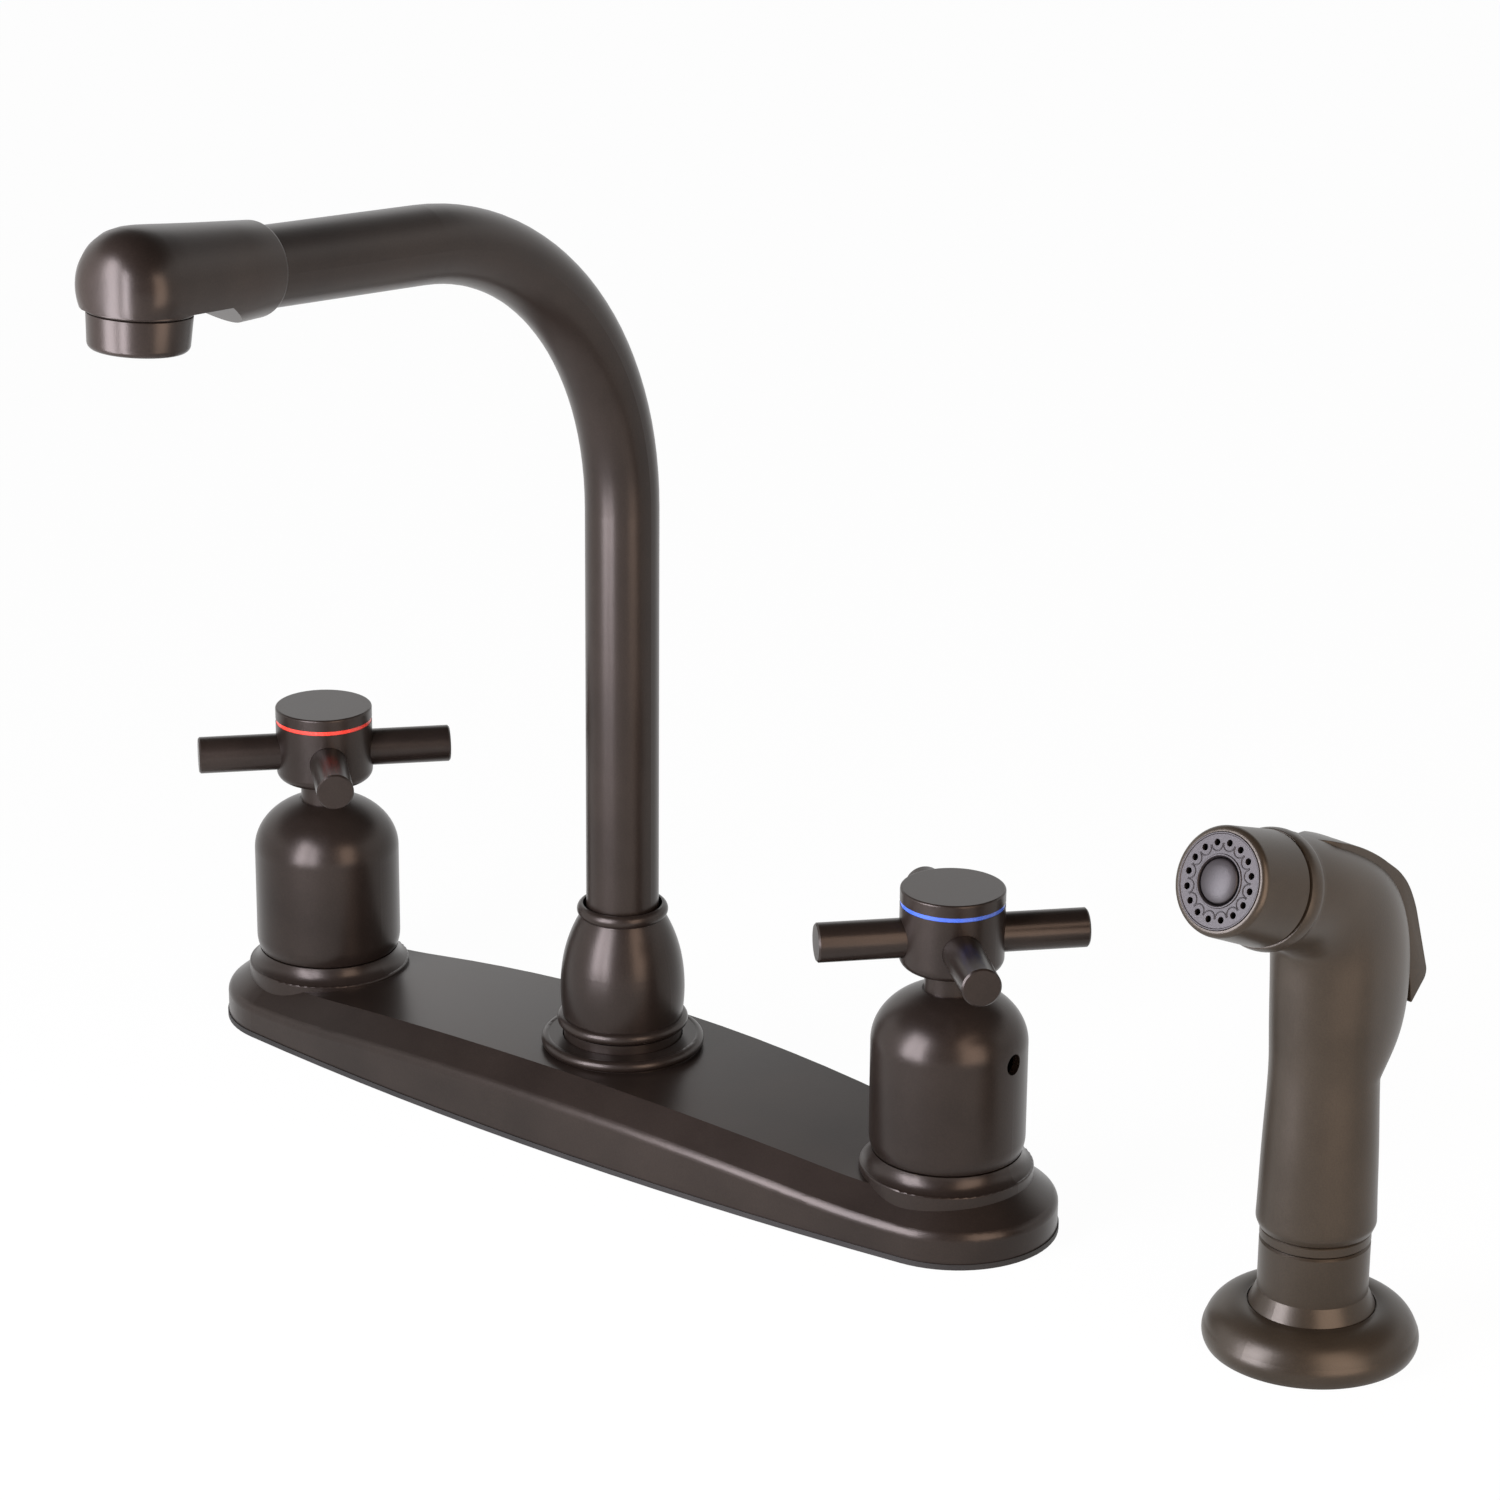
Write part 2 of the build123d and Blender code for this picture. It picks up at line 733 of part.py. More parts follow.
def arm_angles():
    return [arm_turn + 45 + step * 360 / arm_count for step in range(arm_count)]


def level_rod(radius, start, end):
    """Cylinder along X at the height of the arms."""
    return Pos(start, 0, arm_z) * Rot(0, 90, 0) * disc(radius, 0, end - start)


def handle_hub():
    hub = disc(hub_radius, hub_bottom, hub_top)
    hub = fillet(hub.edges().group_by(Axis.Z)[0], hub_edge)
    hub -= disc(hub_well_radius, well_floor, hub_top)
    hub -= disc(handle_screw_radius + thread_gap, hub_bottom, well_floor)
    for angle in arm_angles():
        hub -= Rot(0, 0, angle) * level_rod(arm_radius + thread_gap, arm_socket_radius, arm_reach)
        hub -= Rot(0, 0, angle) * level_rod(arm_spigot_radius + thread_gap, arm_spigot_end, arm_reach)
    return hub


def handle_arms():
    """Four round arms, each with a spigot that is pressed into the hub."""
    arm = level_rod(arm_radius, arm_socket_radius + thread_gap, arm_reach)
    arm = chamfer(arm.edges().group_by(Axis.X)[-1], arm_edge)
    arm += level_rod(arm_spigot_radius, arm_spigot_end + thread_gap, arm_reach / 2)
    arms = Part()
    for angle in arm_angles():
        arms += Rot(0, 0, angle) * arm
    return arms


def handle_screw():
    """Screw from the hub well, through the neck, into the crown of the bell."""
    bottom = neck_bottom - handle_screw_grip + thread_gap
    head = disc(handle_screw_head, well_floor, well_floor + handle_screw_head_height)
    socket = hexagon(handle_screw_socket, well_floor + handle_screw_socket_floor,
                     well_floor + handle_screw_head_height)
    return disc(handle_screw_radius, bottom, well_floor) + head - socket


def index_ring():
    return ring(hub_radius - index_inset, hub_well_radius, hub_top, index_top)


def handle_cap():
    """Flat cap whose skirt is pressed into the hub well."""
    cap = disc(hub_radius, index_top, cap_top)
    cap = fillet(cap.edges().group_by(Axis.Z)[-1], cap_edge)
    skirt_outer = hub_well_radius - thread_gap
    return cap + ring(skirt_outer, skirt_outer - cap_skirt_wall, hub_top - cap_skirt, index_top)


# ---------- spout ----------
def on_bend(share):
    """Point of the centre line at a share of the bend."""
    turn = share * math.radians(90 - spout_rise)
    return (0, -spout_bend_radius * (1 - math.cos(turn)), spout_straight + spout_bend_radius * math.sin(turn))


def spout_frame():
    """Frame at the elbow centre: Z along the run towards the user, X up across it."""
    rise = math.radians(spout_rise)
    _, bend_y, bend_z = on_bend(1)
    elbow_z = bend_z + (spout_reach + bend_y) * math.tan(rise)
    return Plane(origin=(0, -spout_reach, elbow_z), x_dir=(0, math.sin(rise), math.cos(rise)),
                 z_dir=(0, -math.cos(rise), math.sin(rise)))


def spout_path(start_height):
    """Centre line: straight up, one wide bend, then the rising run into the head."""
    elbow = spout_frame()
    run_end = elbow.origin - elbow.z_dir * (head_rear - tube_in_head)
    lines = [Line((0, 0, start_height), on_bend(0)), ThreePointArc(on_bend(0), on_bend(1 / 2), on_bend(1)),
             Line(on_bend(1), run_end)]
    return Wire([line.edge() for line in lines])


def groove(depth, bottom, top):
    """Square groove round the foot of the spout."""
    return ring(spout_radius + depth, spout_radius - depth, bottom, top)


def o_ring_heights():
    first = spout_end_height + o_ring_pitch
    return (first, first + o_ring_pitch)


def spout_tube():
    outer = sweep(Plane.XY.offset(spout_end_height) * Circle(spout_radius), path=spout_path(spout_end_height))
    fitting_top = spout_end_height + spout_fitting
    bore = sweep(Plane.XY.offset(fitting_top) * Circle(spout_radius - spout_wall), path=spout_path(fitting_top))
    tube = outer - bore - disc(spout_fitting_bore, spout_end_height, fitting_top)
    half = o_ring_section + o_ring_squeeze
    for height in o_ring_heights():
        tube -= groove(2 * o_ring_section, height - half, height + half)
    return tube - groove(ring_groove_depth, ring_bottom, ring_top)


def spout_o_rings():
    rings = Part()
    for height in o_ring_heights():
        rings += Pos(0, 0, height) * Torus(spout_radius + o_ring_squeeze - o_ring_section, o_ring_section)
    return rings


def spout_retaining_ring():
    """Open snap ring in the groove of the spout, resting on the post."""
    snap = ring(retaining_ring_radius, spout_radius - ring_groove_depth + thread_gap, ring_bottom + thread_gap,
                ring_top - thread_gap)
    half = math.radians(retaining_ring_opening / 2)
    reach = 2 * retaining_ring_radius
    corner = reach * math.tan(half)
    wedge = make_face(Polyline((0, 0), (corner, reach), (-corner, reach), close=True).edges())
    return snap - Pos(0, 0, ring_bottom) * extrude(wedge, retaining_ring_thickness)


def spout_bushing():
    return ring(post_thread_radius - thread_gap, spout_radius + 2 * spout_fit, bushing_bottom, bushing_top)


def spout_collar_nut():
    """Vase shaped nut that traps the spout on its post."""
    foot = vase_bottom + vase_bead_height
    bead_in = vase_bead_radius - vase_bead_height / 2
    crown = vase_bottom + vase_height
    bead_start = (vase_neck_radius, vase_bottom + vase_neck_height)
    bead_mid = (vase_top_radius, crown - vase_top_bead)
    bead_end = (vase_opening + vase_top_flat, crown)
    lower = ThreePointArc((vase_foot_radius, foot), (vase_belly_radius, vase_bottom + vase_belly_height),
                          (vase_foot_radius, vase_bottom + vase_shoulder_height))
    upper = TangentArc(lower @ 1, bead_start, tangent=lower % 1)
    shoulder = bushing_top + swivel_gap
    thread = post_thread_radius + thread_gap
    return turned(
        Line((thread, vase_bottom), (bead_in, vase_bottom)),
        ThreePointArc((bead_in, vase_bottom), (vase_bead_radius, vase_bottom + vase_bead_height / 2),
                      (bead_in, foot)),
        Line((bead_in, foot), (vase_foot_radius, foot)),
        lower,
        upper,
        ThreePointArc(bead_start, bead_mid, bead_end),
        Polyline(bead_end, (vase_opening, crown), (vase_opening, shoulder), (thread, shoulder),
                 (thread, vase_bottom)))


def outlet_frame():
    """Frame at the elbow centre with Z along the outlet axis, square to the run."""
    return Plane(origin=(0, 0, 0), x_dir=(0, 0, 1), z_dir=(1, 0, 0)).location


def spout_head():
    """Domed elbow: a turned body cut flat below, with a ramp up to the tube."""
    rear = -head_rear
    rear_edge = (head_rear_radius, rear + head_edge)
    body = turned(
        Line((0, rear), (head_rear_radius - head_edge, rear)),
        TangentArc(rear_edge, (head_rear_radius - head_edge, rear), tangent=(0, -1)),
        Spline(rear_edge, (head_mid_radius, -head_mid_back), (head_neck_radius, -head_neck_back),
               (head_radius, 0), tangents=((0, 1), (0, 1))),
        CenterArc((0, 0), head_radius, 0, 90),
        Line((0, head_radius), (0, rear)))
    ramp_run = head_radius / math.tan(math.radians(head_ramp))
    under = Polyline((-head_flat, 2 * head_radius), (-head_flat, -head_mid_back),
                     (-head_flat - head_radius, -head_mid_back - ramp_run),
                     (-3 * head_radius, 2 * head_radius), close=True)
    body -= side_prism(make_face(under.edges()), 2 * head_radius)
    rim = disc(head_rim_radius, -head_flat - head_rim, -head_flat)
    rim = chamfer(rim.edges().group_by(Axis.Z)[0], head_rim / 2)
    body += outlet_frame() * rim
    body -= disc(spout_radius + thread_gap, rear, tube_end + thread_gap)
    body -= Pos(head_bore_lift, 0) * disc(head_bore, tube_end, 0)
    body -= Sphere(outlet_chamber)
    socket = disc(aerator_thread_radius + thread_gap, -head_flat - head_rim, washer_top + thread_gap)
    body -= outlet_frame() * socket
    return spout_frame().location * body


def below_elbow(piece):
    """Places a piece made about Z on the outlet axis."""
    return spout_frame().location * outlet_frame() * piece


def aerator_housing():
    opening = aerator_bore - aerator_lip
    ledge = aerator_bottom + aerator_lip_height
    edge_foot = (aerator_bottom_radius - aerator_edge, aerator_bottom)
    edge_head = (aerator_bottom_radius, aerator_bottom + aerator_edge)
    return below_elbow(turned(
        Line((opening, aerator_bottom), edge_foot),
        RadiusArc(edge_foot, edge_head, -aerator_edge),
        Polyline(edge_head, (aerator_top_radius, aerator_top), (aerator_thread_radius, aerator_top),
                 (aerator_thread_radius, aerator_thread_top), (aerator_bore, aerator_thread_top),
                 (aerator_bore, ledge), (opening, ledge), (opening, aerator_bottom))))


def aerator_insert():
    """Perforated cup that mixes air into the stream."""
    bottom = aerator_bottom + aerator_lip_height
    floor = bottom + insert_floor
    cup = disc(aerator_bore - insert_fit, bottom, bottom + insert_height)
    cup -= disc(aerator_bore - insert_fit - insert_wall, floor, bottom + insert_height)
    for row_radius, holes in insert_rows:
        for step in range(holes):
            cup -= Rot(0, 0, step * 360 / holes) * Pos(row_radius, 0) * disc(insert_hole_radius, bottom, floor)
    return below_elbow(cup)


def aerator_washer():
    return below_elbow(ring(aerator_thread_radius, aerator_washer_bore, aerator_thread_top, washer_top))


# ---------- sprayer foot and holder ----------
def at_sprayer(piece):
    """Places a piece made about Z, nozzle along X, on the sprayer axis."""
    return Pos(sprayer_x, sprayer_y) * Rot(0, 0, sprayer_turn) * piece


def sprayer_flange():
    shoulder = (flange_shoulder_radius, flange_shoulder_height)
    hole = holder_shank_radius + holder_fit
    recess_radius = skirt_radius + holder_fit
    return at_sprayer(turned(
        Line((hole, 0), (flange_foot_radius, 0)),
        ThreePointArc((flange_foot_radius, 0), (flange_radius, flange_belly_height), shoulder),
        ThreePointArc(shoulder, (flange_dome_radius, flange_dome_height), (flange_inner_radius, flange_height)),
        Polyline((flange_inner_radius, flange_height), (recess_radius, flange_height),
                 (recess_radius, holder_bottom), (hole, holder_bottom), (hole, 0))))


def sprayer_holder():
    """Cup on a flared skirt, with a hollow threaded shank through the deck."""
    cup_floor = holder_top - holder_cup_depth
    skirt_top = flange_height + skirt_height
    return at_sprayer(turned(Polyline(
        (holder_bore, -holder_shank), (holder_shank_radius, -holder_shank), (holder_shank_radius, holder_bottom),
        (skirt_radius, holder_bottom), (skirt_radius, flange_height), (holder_radius, skirt_top),
        (holder_radius, holder_top - holder_edge), (holder_radius - holder_edge, holder_top),
        (holder_cup_radius, holder_top), (holder_cup_radius, cup_floor), (holder_bore, cup_floor),
        close=True)))


def holder_washer():
    return at_sprayer(ring(holder_washer_radius, holder_shank_radius + loose_gap,
                           -sink_thickness - washer_thickness, -sink_thickness))


def holder_nut():
    top = -sink_thickness - washer_thickness
    nut = hexagon(holder_nut_across, top - locknut_height, top)
    return at_sprayer(nut - disc(holder_shank_radius + thread_gap, top - locknut_height, top))


# ---------- hose coupling ----------
def hose_coupling():
    """Ring that rests on the holder, with a plug below and the swivel stud above."""
    plug_bottom = coupling_bottom - plug_depth
    body = disc(holder_radius, coupling_bottom, coupling_top)
    body = chamfer(body.edges(), coupling_edge)
    body += disc(plug_radius, plug_bottom, coupling_bottom)
    body += disc(stud_radius, coupling_top, coupling_top + stud_height)
    body -= disc(nipple_radius + thread_gap, plug_bottom, plug_bottom + nipple_grip)
    return at_sprayer(body - disc(coupling_bore, plug_bottom, coupling_top + stud_height))


def hose_nipple():
    """Barbed inlet that the hose is pushed onto."""
    top = coupling_bottom - plug_depth + nipple_grip - thread_gap
    shoulder = coupling_bottom - plug_depth - thread_gap
    bottom = shoulder - nipple_length
    nipple = disc(nipple_radius, bottom, top)
    for step in range(barb_count):
        barb = turned(Polyline((0, 0), (nipple_radius, 0), (barb_radius, barb_length), (0, barb_length), close=True))
        nipple += Pos(0, 0, bottom + step * barb_pitch) * barb
    return at_sprayer(nipple - disc(nipple_bore, bottom, top))


# ---------- sprayer body ----------
def nozzle_frame():
    """Frame at the centre of the spray face, Z out along the nozzle."""
    tilt = math.radians(nozzle_angle)
    return Plane(origin=(face_reach, 0, face_height), x_dir=(-math.sin(tilt), 0, math.cos(tilt)),
                 z_dir=(math.cos(tilt), 0, math.sin(tilt)))


def oval(half_length, half_width):
    """Ellipse of two half arcs, so that every section starts at the same place."""
    arcs = [EllipticalCenterArc((0, 0), half_length, half_width, start, arc_size=180) for start in (0, 180)]
    return make_face([arc.edge() for arc in arcs])


def level_section(height, reach, back, half_width):
    """Section square to the grip, its long axis towards the palm."""
    return Plane(origin=(back, 0, height), x_dir=(-1, 0, 0), z_dir=(0, 0, 1)) * oval(reach, half_width)


def leaning_section(inner, outer):
    """Section through a point of the crotch and a point of the crest."""
    span = Vector(outer[0] - inner[0], 0, outer[1] - inner[1])
    across = span.normalized()
    middle = ((inner[0] + outer[0]) / 2, 0, (inner[1] + outer[1]) / 2)
    frame = Plane(origin=middle, x_dir=across, z_dir=(across.Z, 0, -across.X))
    return frame * oval(span.length / 2, body_half_width)


def grip():
    """Round lower part of the handle, waisted towards the palm."""
    heel = (grip_heel_radius, grip_bottom + grip_heel_height)
    return turned(
        Polyline((0, grip_top), (0, grip_bottom), (grip_foot_radius, grip_bottom), heel),
        Spline(heel, (grip_belly_radius, grip_bottom + grip_belly_height), (grip_waist_radius, grip_top),
               tangents=((0, 1), (0, 1))),
        Line((grip_waist_radius, grip_top), (0, grip_top)))


def body_shell():
    """Outside of the sprayer: grip, palm swell, elbow and the raised lip behind the nozzle."""
    sections = [
        level_section(grip_top, grip_waist_radius, 0, grip_waist_radius),
        level_section(grip_top + palm_low_rise, palm_low_reach, palm_low_back, body_half_width),
        level_section(grip_top + palm_rise, palm_reach, palm_back, body_half_width),
        level_section(palm_top, palm_reach, palm_back, body_half_width),
        leaning_section(crotch_low, crest_low),
        leaning_section(crotch_mid, crest_mid),
        leaning_section(crotch_top, crest_top),
        nozzle_frame().offset(-head_joint) * oval(head_joint_radius, head_joint_radius)]
    lip = turned(
        Line((0, -body_front), (lip_face_radius, -body_front)),
        ThreePointArc((lip_face_radius, -body_front), (lip_radius, -lip_back), (head_joint_radius, -head_joint)),
        Polyline((head_joint_radius, -head_joint), (0, -head_joint), (0, -body_front)))
    return grip() + loft(sections) + nozzle_frame().location * lip


def pressed(point):
    """Where a point of the lever goes when the lever is pressed fully."""
    return swivelled(point, pin_place, lever_press)


def lever_channel():
    """Slot in the back of the body that takes the lever through its whole travel."""
    front = [(point[0], point[1] - lever_clearance) for point in lever_floor[4:]]
    front_wall = lever_floor[5][0] + 2 * lever_clearance
    back = [pressed(point) for point in lever_floor[:4]]
    back = [(point[0] + lever_clearance, point[1] - lever_clearance) for point in back]
    tip = pressed(lever_tip)
    low_end = (tip[0] + lever_clearance, tip[1] - 2 * lever_clearance)
    outside = -2 * palm_reach
    above = face_height + 2 * body_half_width
    floor = [(front_wall, above), (front_wall, front[1][1]), front[0]] + back[::-1]
    outline = Polyline(*floor, low_end, (outside, low_end[1]), (outside, above), close=True)
    return side_prism(make_face(outline.edges()), lever_half_width + lever_clearance)


def across_pin(radius, half_length):
    """Cylinder along Y on the lever pin."""
    return Pos(pin_place[0], 0, pin_place[1]) * Rot(90, 0, 0) * Cylinder(radius, 2 * half_length)


def on_plunger(piece):
    return Pos(plunger_back, 0) * piece


def sprayer_body():
    body = body_shell() - lever_channel()
    body -= across_pin(pin_boss + lever_clearance, lever_half_width + lever_clearance)
    body -= across_pin(pin_radius + thread_gap, lever_half_width + pin_overhang + thread_gap)
    chamber_top = chamber_bottom + chamber_height
    body -= disc(stud_radius + stud_fit, grip_bottom, coupling_top + stud_height + coupling_gap)
    body -= Pos(inlet_back, 0) * disc(inlet_radius, coupling_top + stud_height, chamber_bottom + inlet_radius)
    body -= on_plunger(disc(chamber_radius, chamber_bottom, chamber_top))
    body -= on_plunger(disc(throat_radius, chamber_top, chamber_top + throat_height))
    body -= on_plunger(disc(plunger_stem_radius + plunger_fit, chamber_top, spring_bottom))
    body -= on_plunger(disc(spring_pocket_radius, spring_bottom, plunger_centre + spring_pocket_radius))
    nozzle = nozzle_frame().location
    socket_bottom = -body_front - nozzle_thread - coupling_gap
    body -= nozzle * disc(nozzle_thread_radius + nozzle_fit, socket_bottom, -body_front)
    start = Vector(plunger_back, 0, chamber_top + throat_height / 2)
    end = nozzle_frame().origin + nozzle_frame().z_dir * socket_bottom
    duct = Plane(origin=start, z_dir=end - start)
    return at_sprayer(body - duct.location * disc(duct_radius, 0, (end - start).length + duct_radius))


# ---------- nozzle ----------
def at_nozzle(piece):
    return at_sprayer(nozzle_frame().location * piece)


def nozzle_ring():
    """Ring that is screwed into the body and holds the spray face."""
    root = -body_front + nozzle_seam
    thread_end = -body_front - nozzle_thread
    face_bore = face_radius + face_fit
    lip = face_bore + nozzle_lip
    rim = EllipticalCenterArc((lip, -nozzle_round), nozzle_rim_radius - lip, nozzle_round, 0, arc_size=90)
    return at_nozzle(turned(
        Polyline(rim @ 1, (face_bore, 0), (face_bore, -face_thickness), (nozzle_bore, -face_thickness),
                 (nozzle_bore, thread_end), (nozzle_thread_radius, thread_end), (nozzle_thread_radius, root),
                 (nozzle_root_radius, root), rim @ 0),
        rim))


def spray_face():
    """Disc with a ring of jets and a seat for its screw cap."""
    face = disc(face_radius, -face_thickness, 0)
    for step in range(jet_count):
        face -= Rot(0, 0, step * 360 / jet_count) * Pos(jet_circle, 0) * disc(jet_radius, -face_thickness, 0)
    return at_nozzle(face - disc(cap_seat_radius, -face_cap_depth, 0))


def face_cap():
    """Domed cap over the screw in the middle of the spray face."""
    rim = (face_cap_radius, 0)
    return at_nozzle(turned(
        Polyline((0, face_cap_rise), (0, -face_cap_depth), (face_cap_radius, -face_cap_depth), rim),
        TangentArc((0, face_cap_rise), rim, tangent=(1, 0))))


# ---------- lever and valve ----------
def thumb_lever():
    """Curved lever hinged at the front, drawn from its side outline."""
    outline = Polyline(*lever_crest, lever_heel, lever_tip, *lever_floor, close=True)
    lever = side_prism(make_face(outline.edges()), lever_half_width)
    lever += across_pin(pin_boss, lever_half_width)
    return at_sprayer(lever - across_pin(pin_radius + pin_fit, lever_half_width))


def lever_pin():
    return at_sprayer(across_pin(pin_radius, lever_half_width + pin_overhang))


def valve_plunger():
    """Plunger under the lever, with its spring seat and the poppet of the valve."""
    seat_top = plunger_centre - spring_seat_drop
    plunger = Pos(0, 0, plunger_centre) * Sphere(plunger_tip_radius)
    plunger += disc(plunger_tip_radius, seat_top, plunger_centre)
    plunger += disc(spring_seat_radius, spring_top, seat_top)
    plunger += disc(plunger_stem_radius, poppet_top, spring_top)
    plunger += disc(poppet_radius, poppet_top - poppet_height, poppet_top)
    return at_sprayer(on_plunger(plunger))


def valve_spring():
    """Coil spring between the floor of its pocket and the seat on the plunger."""
    height = spring_top - spring_bottom - 2 * (spring_wire + spring_seating)
    helix = Helix(height / spring_turns, height, spring_radius)
    start = Plane(origin=helix @ 0, z_dir=helix % 0)
    coil = sweep(start * Circle(spring_wire), path=helix)
    return at_sprayer(on_plunger(Pos(0, 0, spring_bottom + spring_wire + spring_seating) * coil))


# ---------- every node of the faucet ----------
def fixed_nodes():
    nodes = {
        "deck_plate": deck_plate(),
        "deck_gasket": deck_gasket(),
        "centre_post": centre_post(),
        "cross_tubes": cross_tubes(),
        "shank_washers": shank_washers(),
        "shank_locknuts": shank_locknuts(),
        "plate_nuts": plate_nuts(),
        "seat_seals": seat_seals(),
        "fixed_discs": at_both_handles(ported_disc(seal_top + braze_gap, fixed_top)),
        "spray_outlet": spray_outlet(),
        "diverter": diverter(),
        "spout_bushing": spout_bushing(),
        "spout_collar_nut": spout_collar_nut(),
    }
    for side, name in ((-1, "hot"), (1, "cold")):
        nodes[name + "_valve_body"] = valve_body(side)
        nodes[name + "_cartridge"] = cartridge_body(side)
    return nodes


def handle_nodes(side, name):
    pieces = {
        "stem": handle_stem(),
        "moving_disc": Rot(0, 0, 90) * ported_disc(moving_bottom, moving_top),
        "bell": bell(side),
        "set_screw": set_screw(side),
        "neck": neck(),
        "hub": handle_hub(),
        "arms": handle_arms(),
        "handle_screw": handle_screw(),
        "index_ring": index_ring(),
        "cap": handle_cap(),
    }
    return {name + "_" + piece: Pos(side * handle_x, 0) * pieces[piece] for piece in pieces}


def spout_nodes():
    return {
        "spout_tube": spout_tube(),
        "spout_o_rings": spout_o_rings(),
        "spout_retaining_ring": spout_retaining_ring(),
        "spout_head": spout_head(),
        "aerator_housing": aerator_housing(),
        "aerator_insert": aerator_insert(),
        "aerator_washer": aerator_washer(),
    }


def sprayer_nodes():
    return {
        "sprayer_flange": sprayer_flange(),
        "sprayer_holder": sprayer_holder(),
        "holder_washer": holder_washer(),
        "holder_nut": holder_nut(),
        "hose_coupling": hose_coupling(),
        "hose_nipple": hose_nipple(),
        "sprayer_body": sprayer_body(),
        "nozzle_ring": nozzle_ring(),
        "spray_face": spray_face(),
        "face_cap": face_cap(),
        "lever_pin": lever_pin(),
        "thumb_lever": thumb_lever(),
        "valve_plunger": valve_plunger(),
        "valve_spring": valve_spring(),
    }


nodes = fixed_nodes()
nodes.update(handle_nodes(-1, "hot"))
nodes.update(handle_nodes(1, "cold"))
nodes.update(spout_nodes())
nodes.update(sprayer_nodes())
os.makedirs("parts", exist_ok=True)
for node, shape in nodes.items():
    export_step(shape, "parts/" + node + ".step")
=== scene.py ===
import bpy
import bmesh
import json
import math
from mathutils import Matrix, Vector


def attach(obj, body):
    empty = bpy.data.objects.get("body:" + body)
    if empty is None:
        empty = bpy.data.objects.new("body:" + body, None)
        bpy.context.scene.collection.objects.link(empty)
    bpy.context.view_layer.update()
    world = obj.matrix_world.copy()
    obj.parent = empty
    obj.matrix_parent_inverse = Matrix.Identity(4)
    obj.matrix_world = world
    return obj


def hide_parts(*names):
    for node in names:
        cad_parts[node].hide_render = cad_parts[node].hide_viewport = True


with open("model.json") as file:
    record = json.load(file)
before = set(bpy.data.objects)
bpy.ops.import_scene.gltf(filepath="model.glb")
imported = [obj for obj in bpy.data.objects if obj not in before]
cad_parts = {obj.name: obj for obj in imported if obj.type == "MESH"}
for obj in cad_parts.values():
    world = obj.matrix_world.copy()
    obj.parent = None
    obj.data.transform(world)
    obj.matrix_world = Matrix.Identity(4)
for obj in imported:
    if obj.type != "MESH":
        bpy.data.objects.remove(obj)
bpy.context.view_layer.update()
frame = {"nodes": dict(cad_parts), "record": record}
nodes = frame["nodes"]
record = frame["record"]
bpy.context.scene.view_settings.view_transform = "Standard"
print("frame loaded:", len(nodes), "nodes")


# a studio like the one in the picture: white room, dark ceiling, three tall soft boxes
studio = {
    "cameraPlace": (0.69084, -0.83782, 0.49550),
    "cameraRight": (0.78786, 0.61579, 0.00854),
    "cameraUp": (-0.21772, 0.26553, 0.93920),
    "cameraBack": (0.57608, -0.74182, 0.34327),
    "lens": 111.44,
    "sensor": 36.0,
    "clipEnd": 30,
    "floorSize": 8.0,
    "floorGrey": 0.86,
    "floorWhite": 0.975,         # share of plain white that the camera sees in the floor
    "floorDrop": 0.0002,
    "horizonLight": 0.9,
    "shoulderLight": 1.35,
    "shoulderHeight": 0.40,     # sine of the height angle
    "ceilingLight": 0.14,
    "ceilingHeight": 0.62,
    "zenithLight": 0.05,
    "darkSide": (0.615, -0.788, 0.0),   # the room is dark behind the photographer
    "darkShare": 0.25,
    "darkSpan": (0.1, 0.8),     # cosine from the dark side
    "boxDistance": 0.42,
}

# they stand upright round the faucet, out of the frame; bearings are degrees from +X
softBoxes = [
    {"name": "leftBox", "target": (0.05, 0.0), "bearing": -109.0, "middle": 0.24,
     "size": (0.12, 0.46), "power": 3.2, "color": (0.93, 0.91, 1.0)},
    {"name": "sprayerBox", "target": (0.204, 0.0), "bearing": -112.0, "middle": 0.20,
     "size": (0.07, 0.38), "power": 2.0, "color": (0.93, 0.91, 1.0)},
    {"name": "rightBox", "target": (0.05, 0.0), "bearing": -17.0, "middle": 0.24,
     "size": (0.24, 0.46), "power": 1.7, "color": (1.0, 0.76, 0.60)},
]


def makeCamera():
    data = bpy.data.cameras.new("camera")
    data.lens = studio["lens"]
    data.sensor_width = studio["sensor"]
    data.sensor_fit = "HORIZONTAL"
    data.clip_end = studio["clipEnd"]
    camera = bpy.data.objects.new("camera", data)
    bpy.context.scene.collection.objects.link(camera)
    axes = [Vector(studio[key]) for key in ("cameraRight", "cameraUp", "cameraBack")]
    turn = Matrix(axes).transposed().to_4x4()
    camera.matrix_world = Matrix.Translation(studio["cameraPlace"]) @ turn
    bpy.context.scene.camera = camera


def makeSoftBox(box):
    data = bpy.data.lights.new(box["name"], "AREA")
    data.shape = "RECTANGLE"
    data.size, data.size_y = box["size"]
    data.energy = box["power"]
    data.color = box["color"]
    light = bpy.data.objects.new(box["name"], data)
    bpy.context.scene.collection.objects.link(light)
    bearing = math.radians(box["bearing"])
    outward = Vector((math.cos(bearing), math.sin(bearing), 0))
    place = Vector((*box["target"], box["middle"])) + outward * studio["boxDistance"]
    light.matrix_world = Matrix.Translation(place) @ outward.to_track_quat("Z", "Y").to_matrix().to_4x4()


def newNode(tree, kind, **inputs):
    node = tree.nodes.new(kind)
    for name, value in inputs.items():
        node.inputs[name.replace("_", " ")].default_value = value
    return node


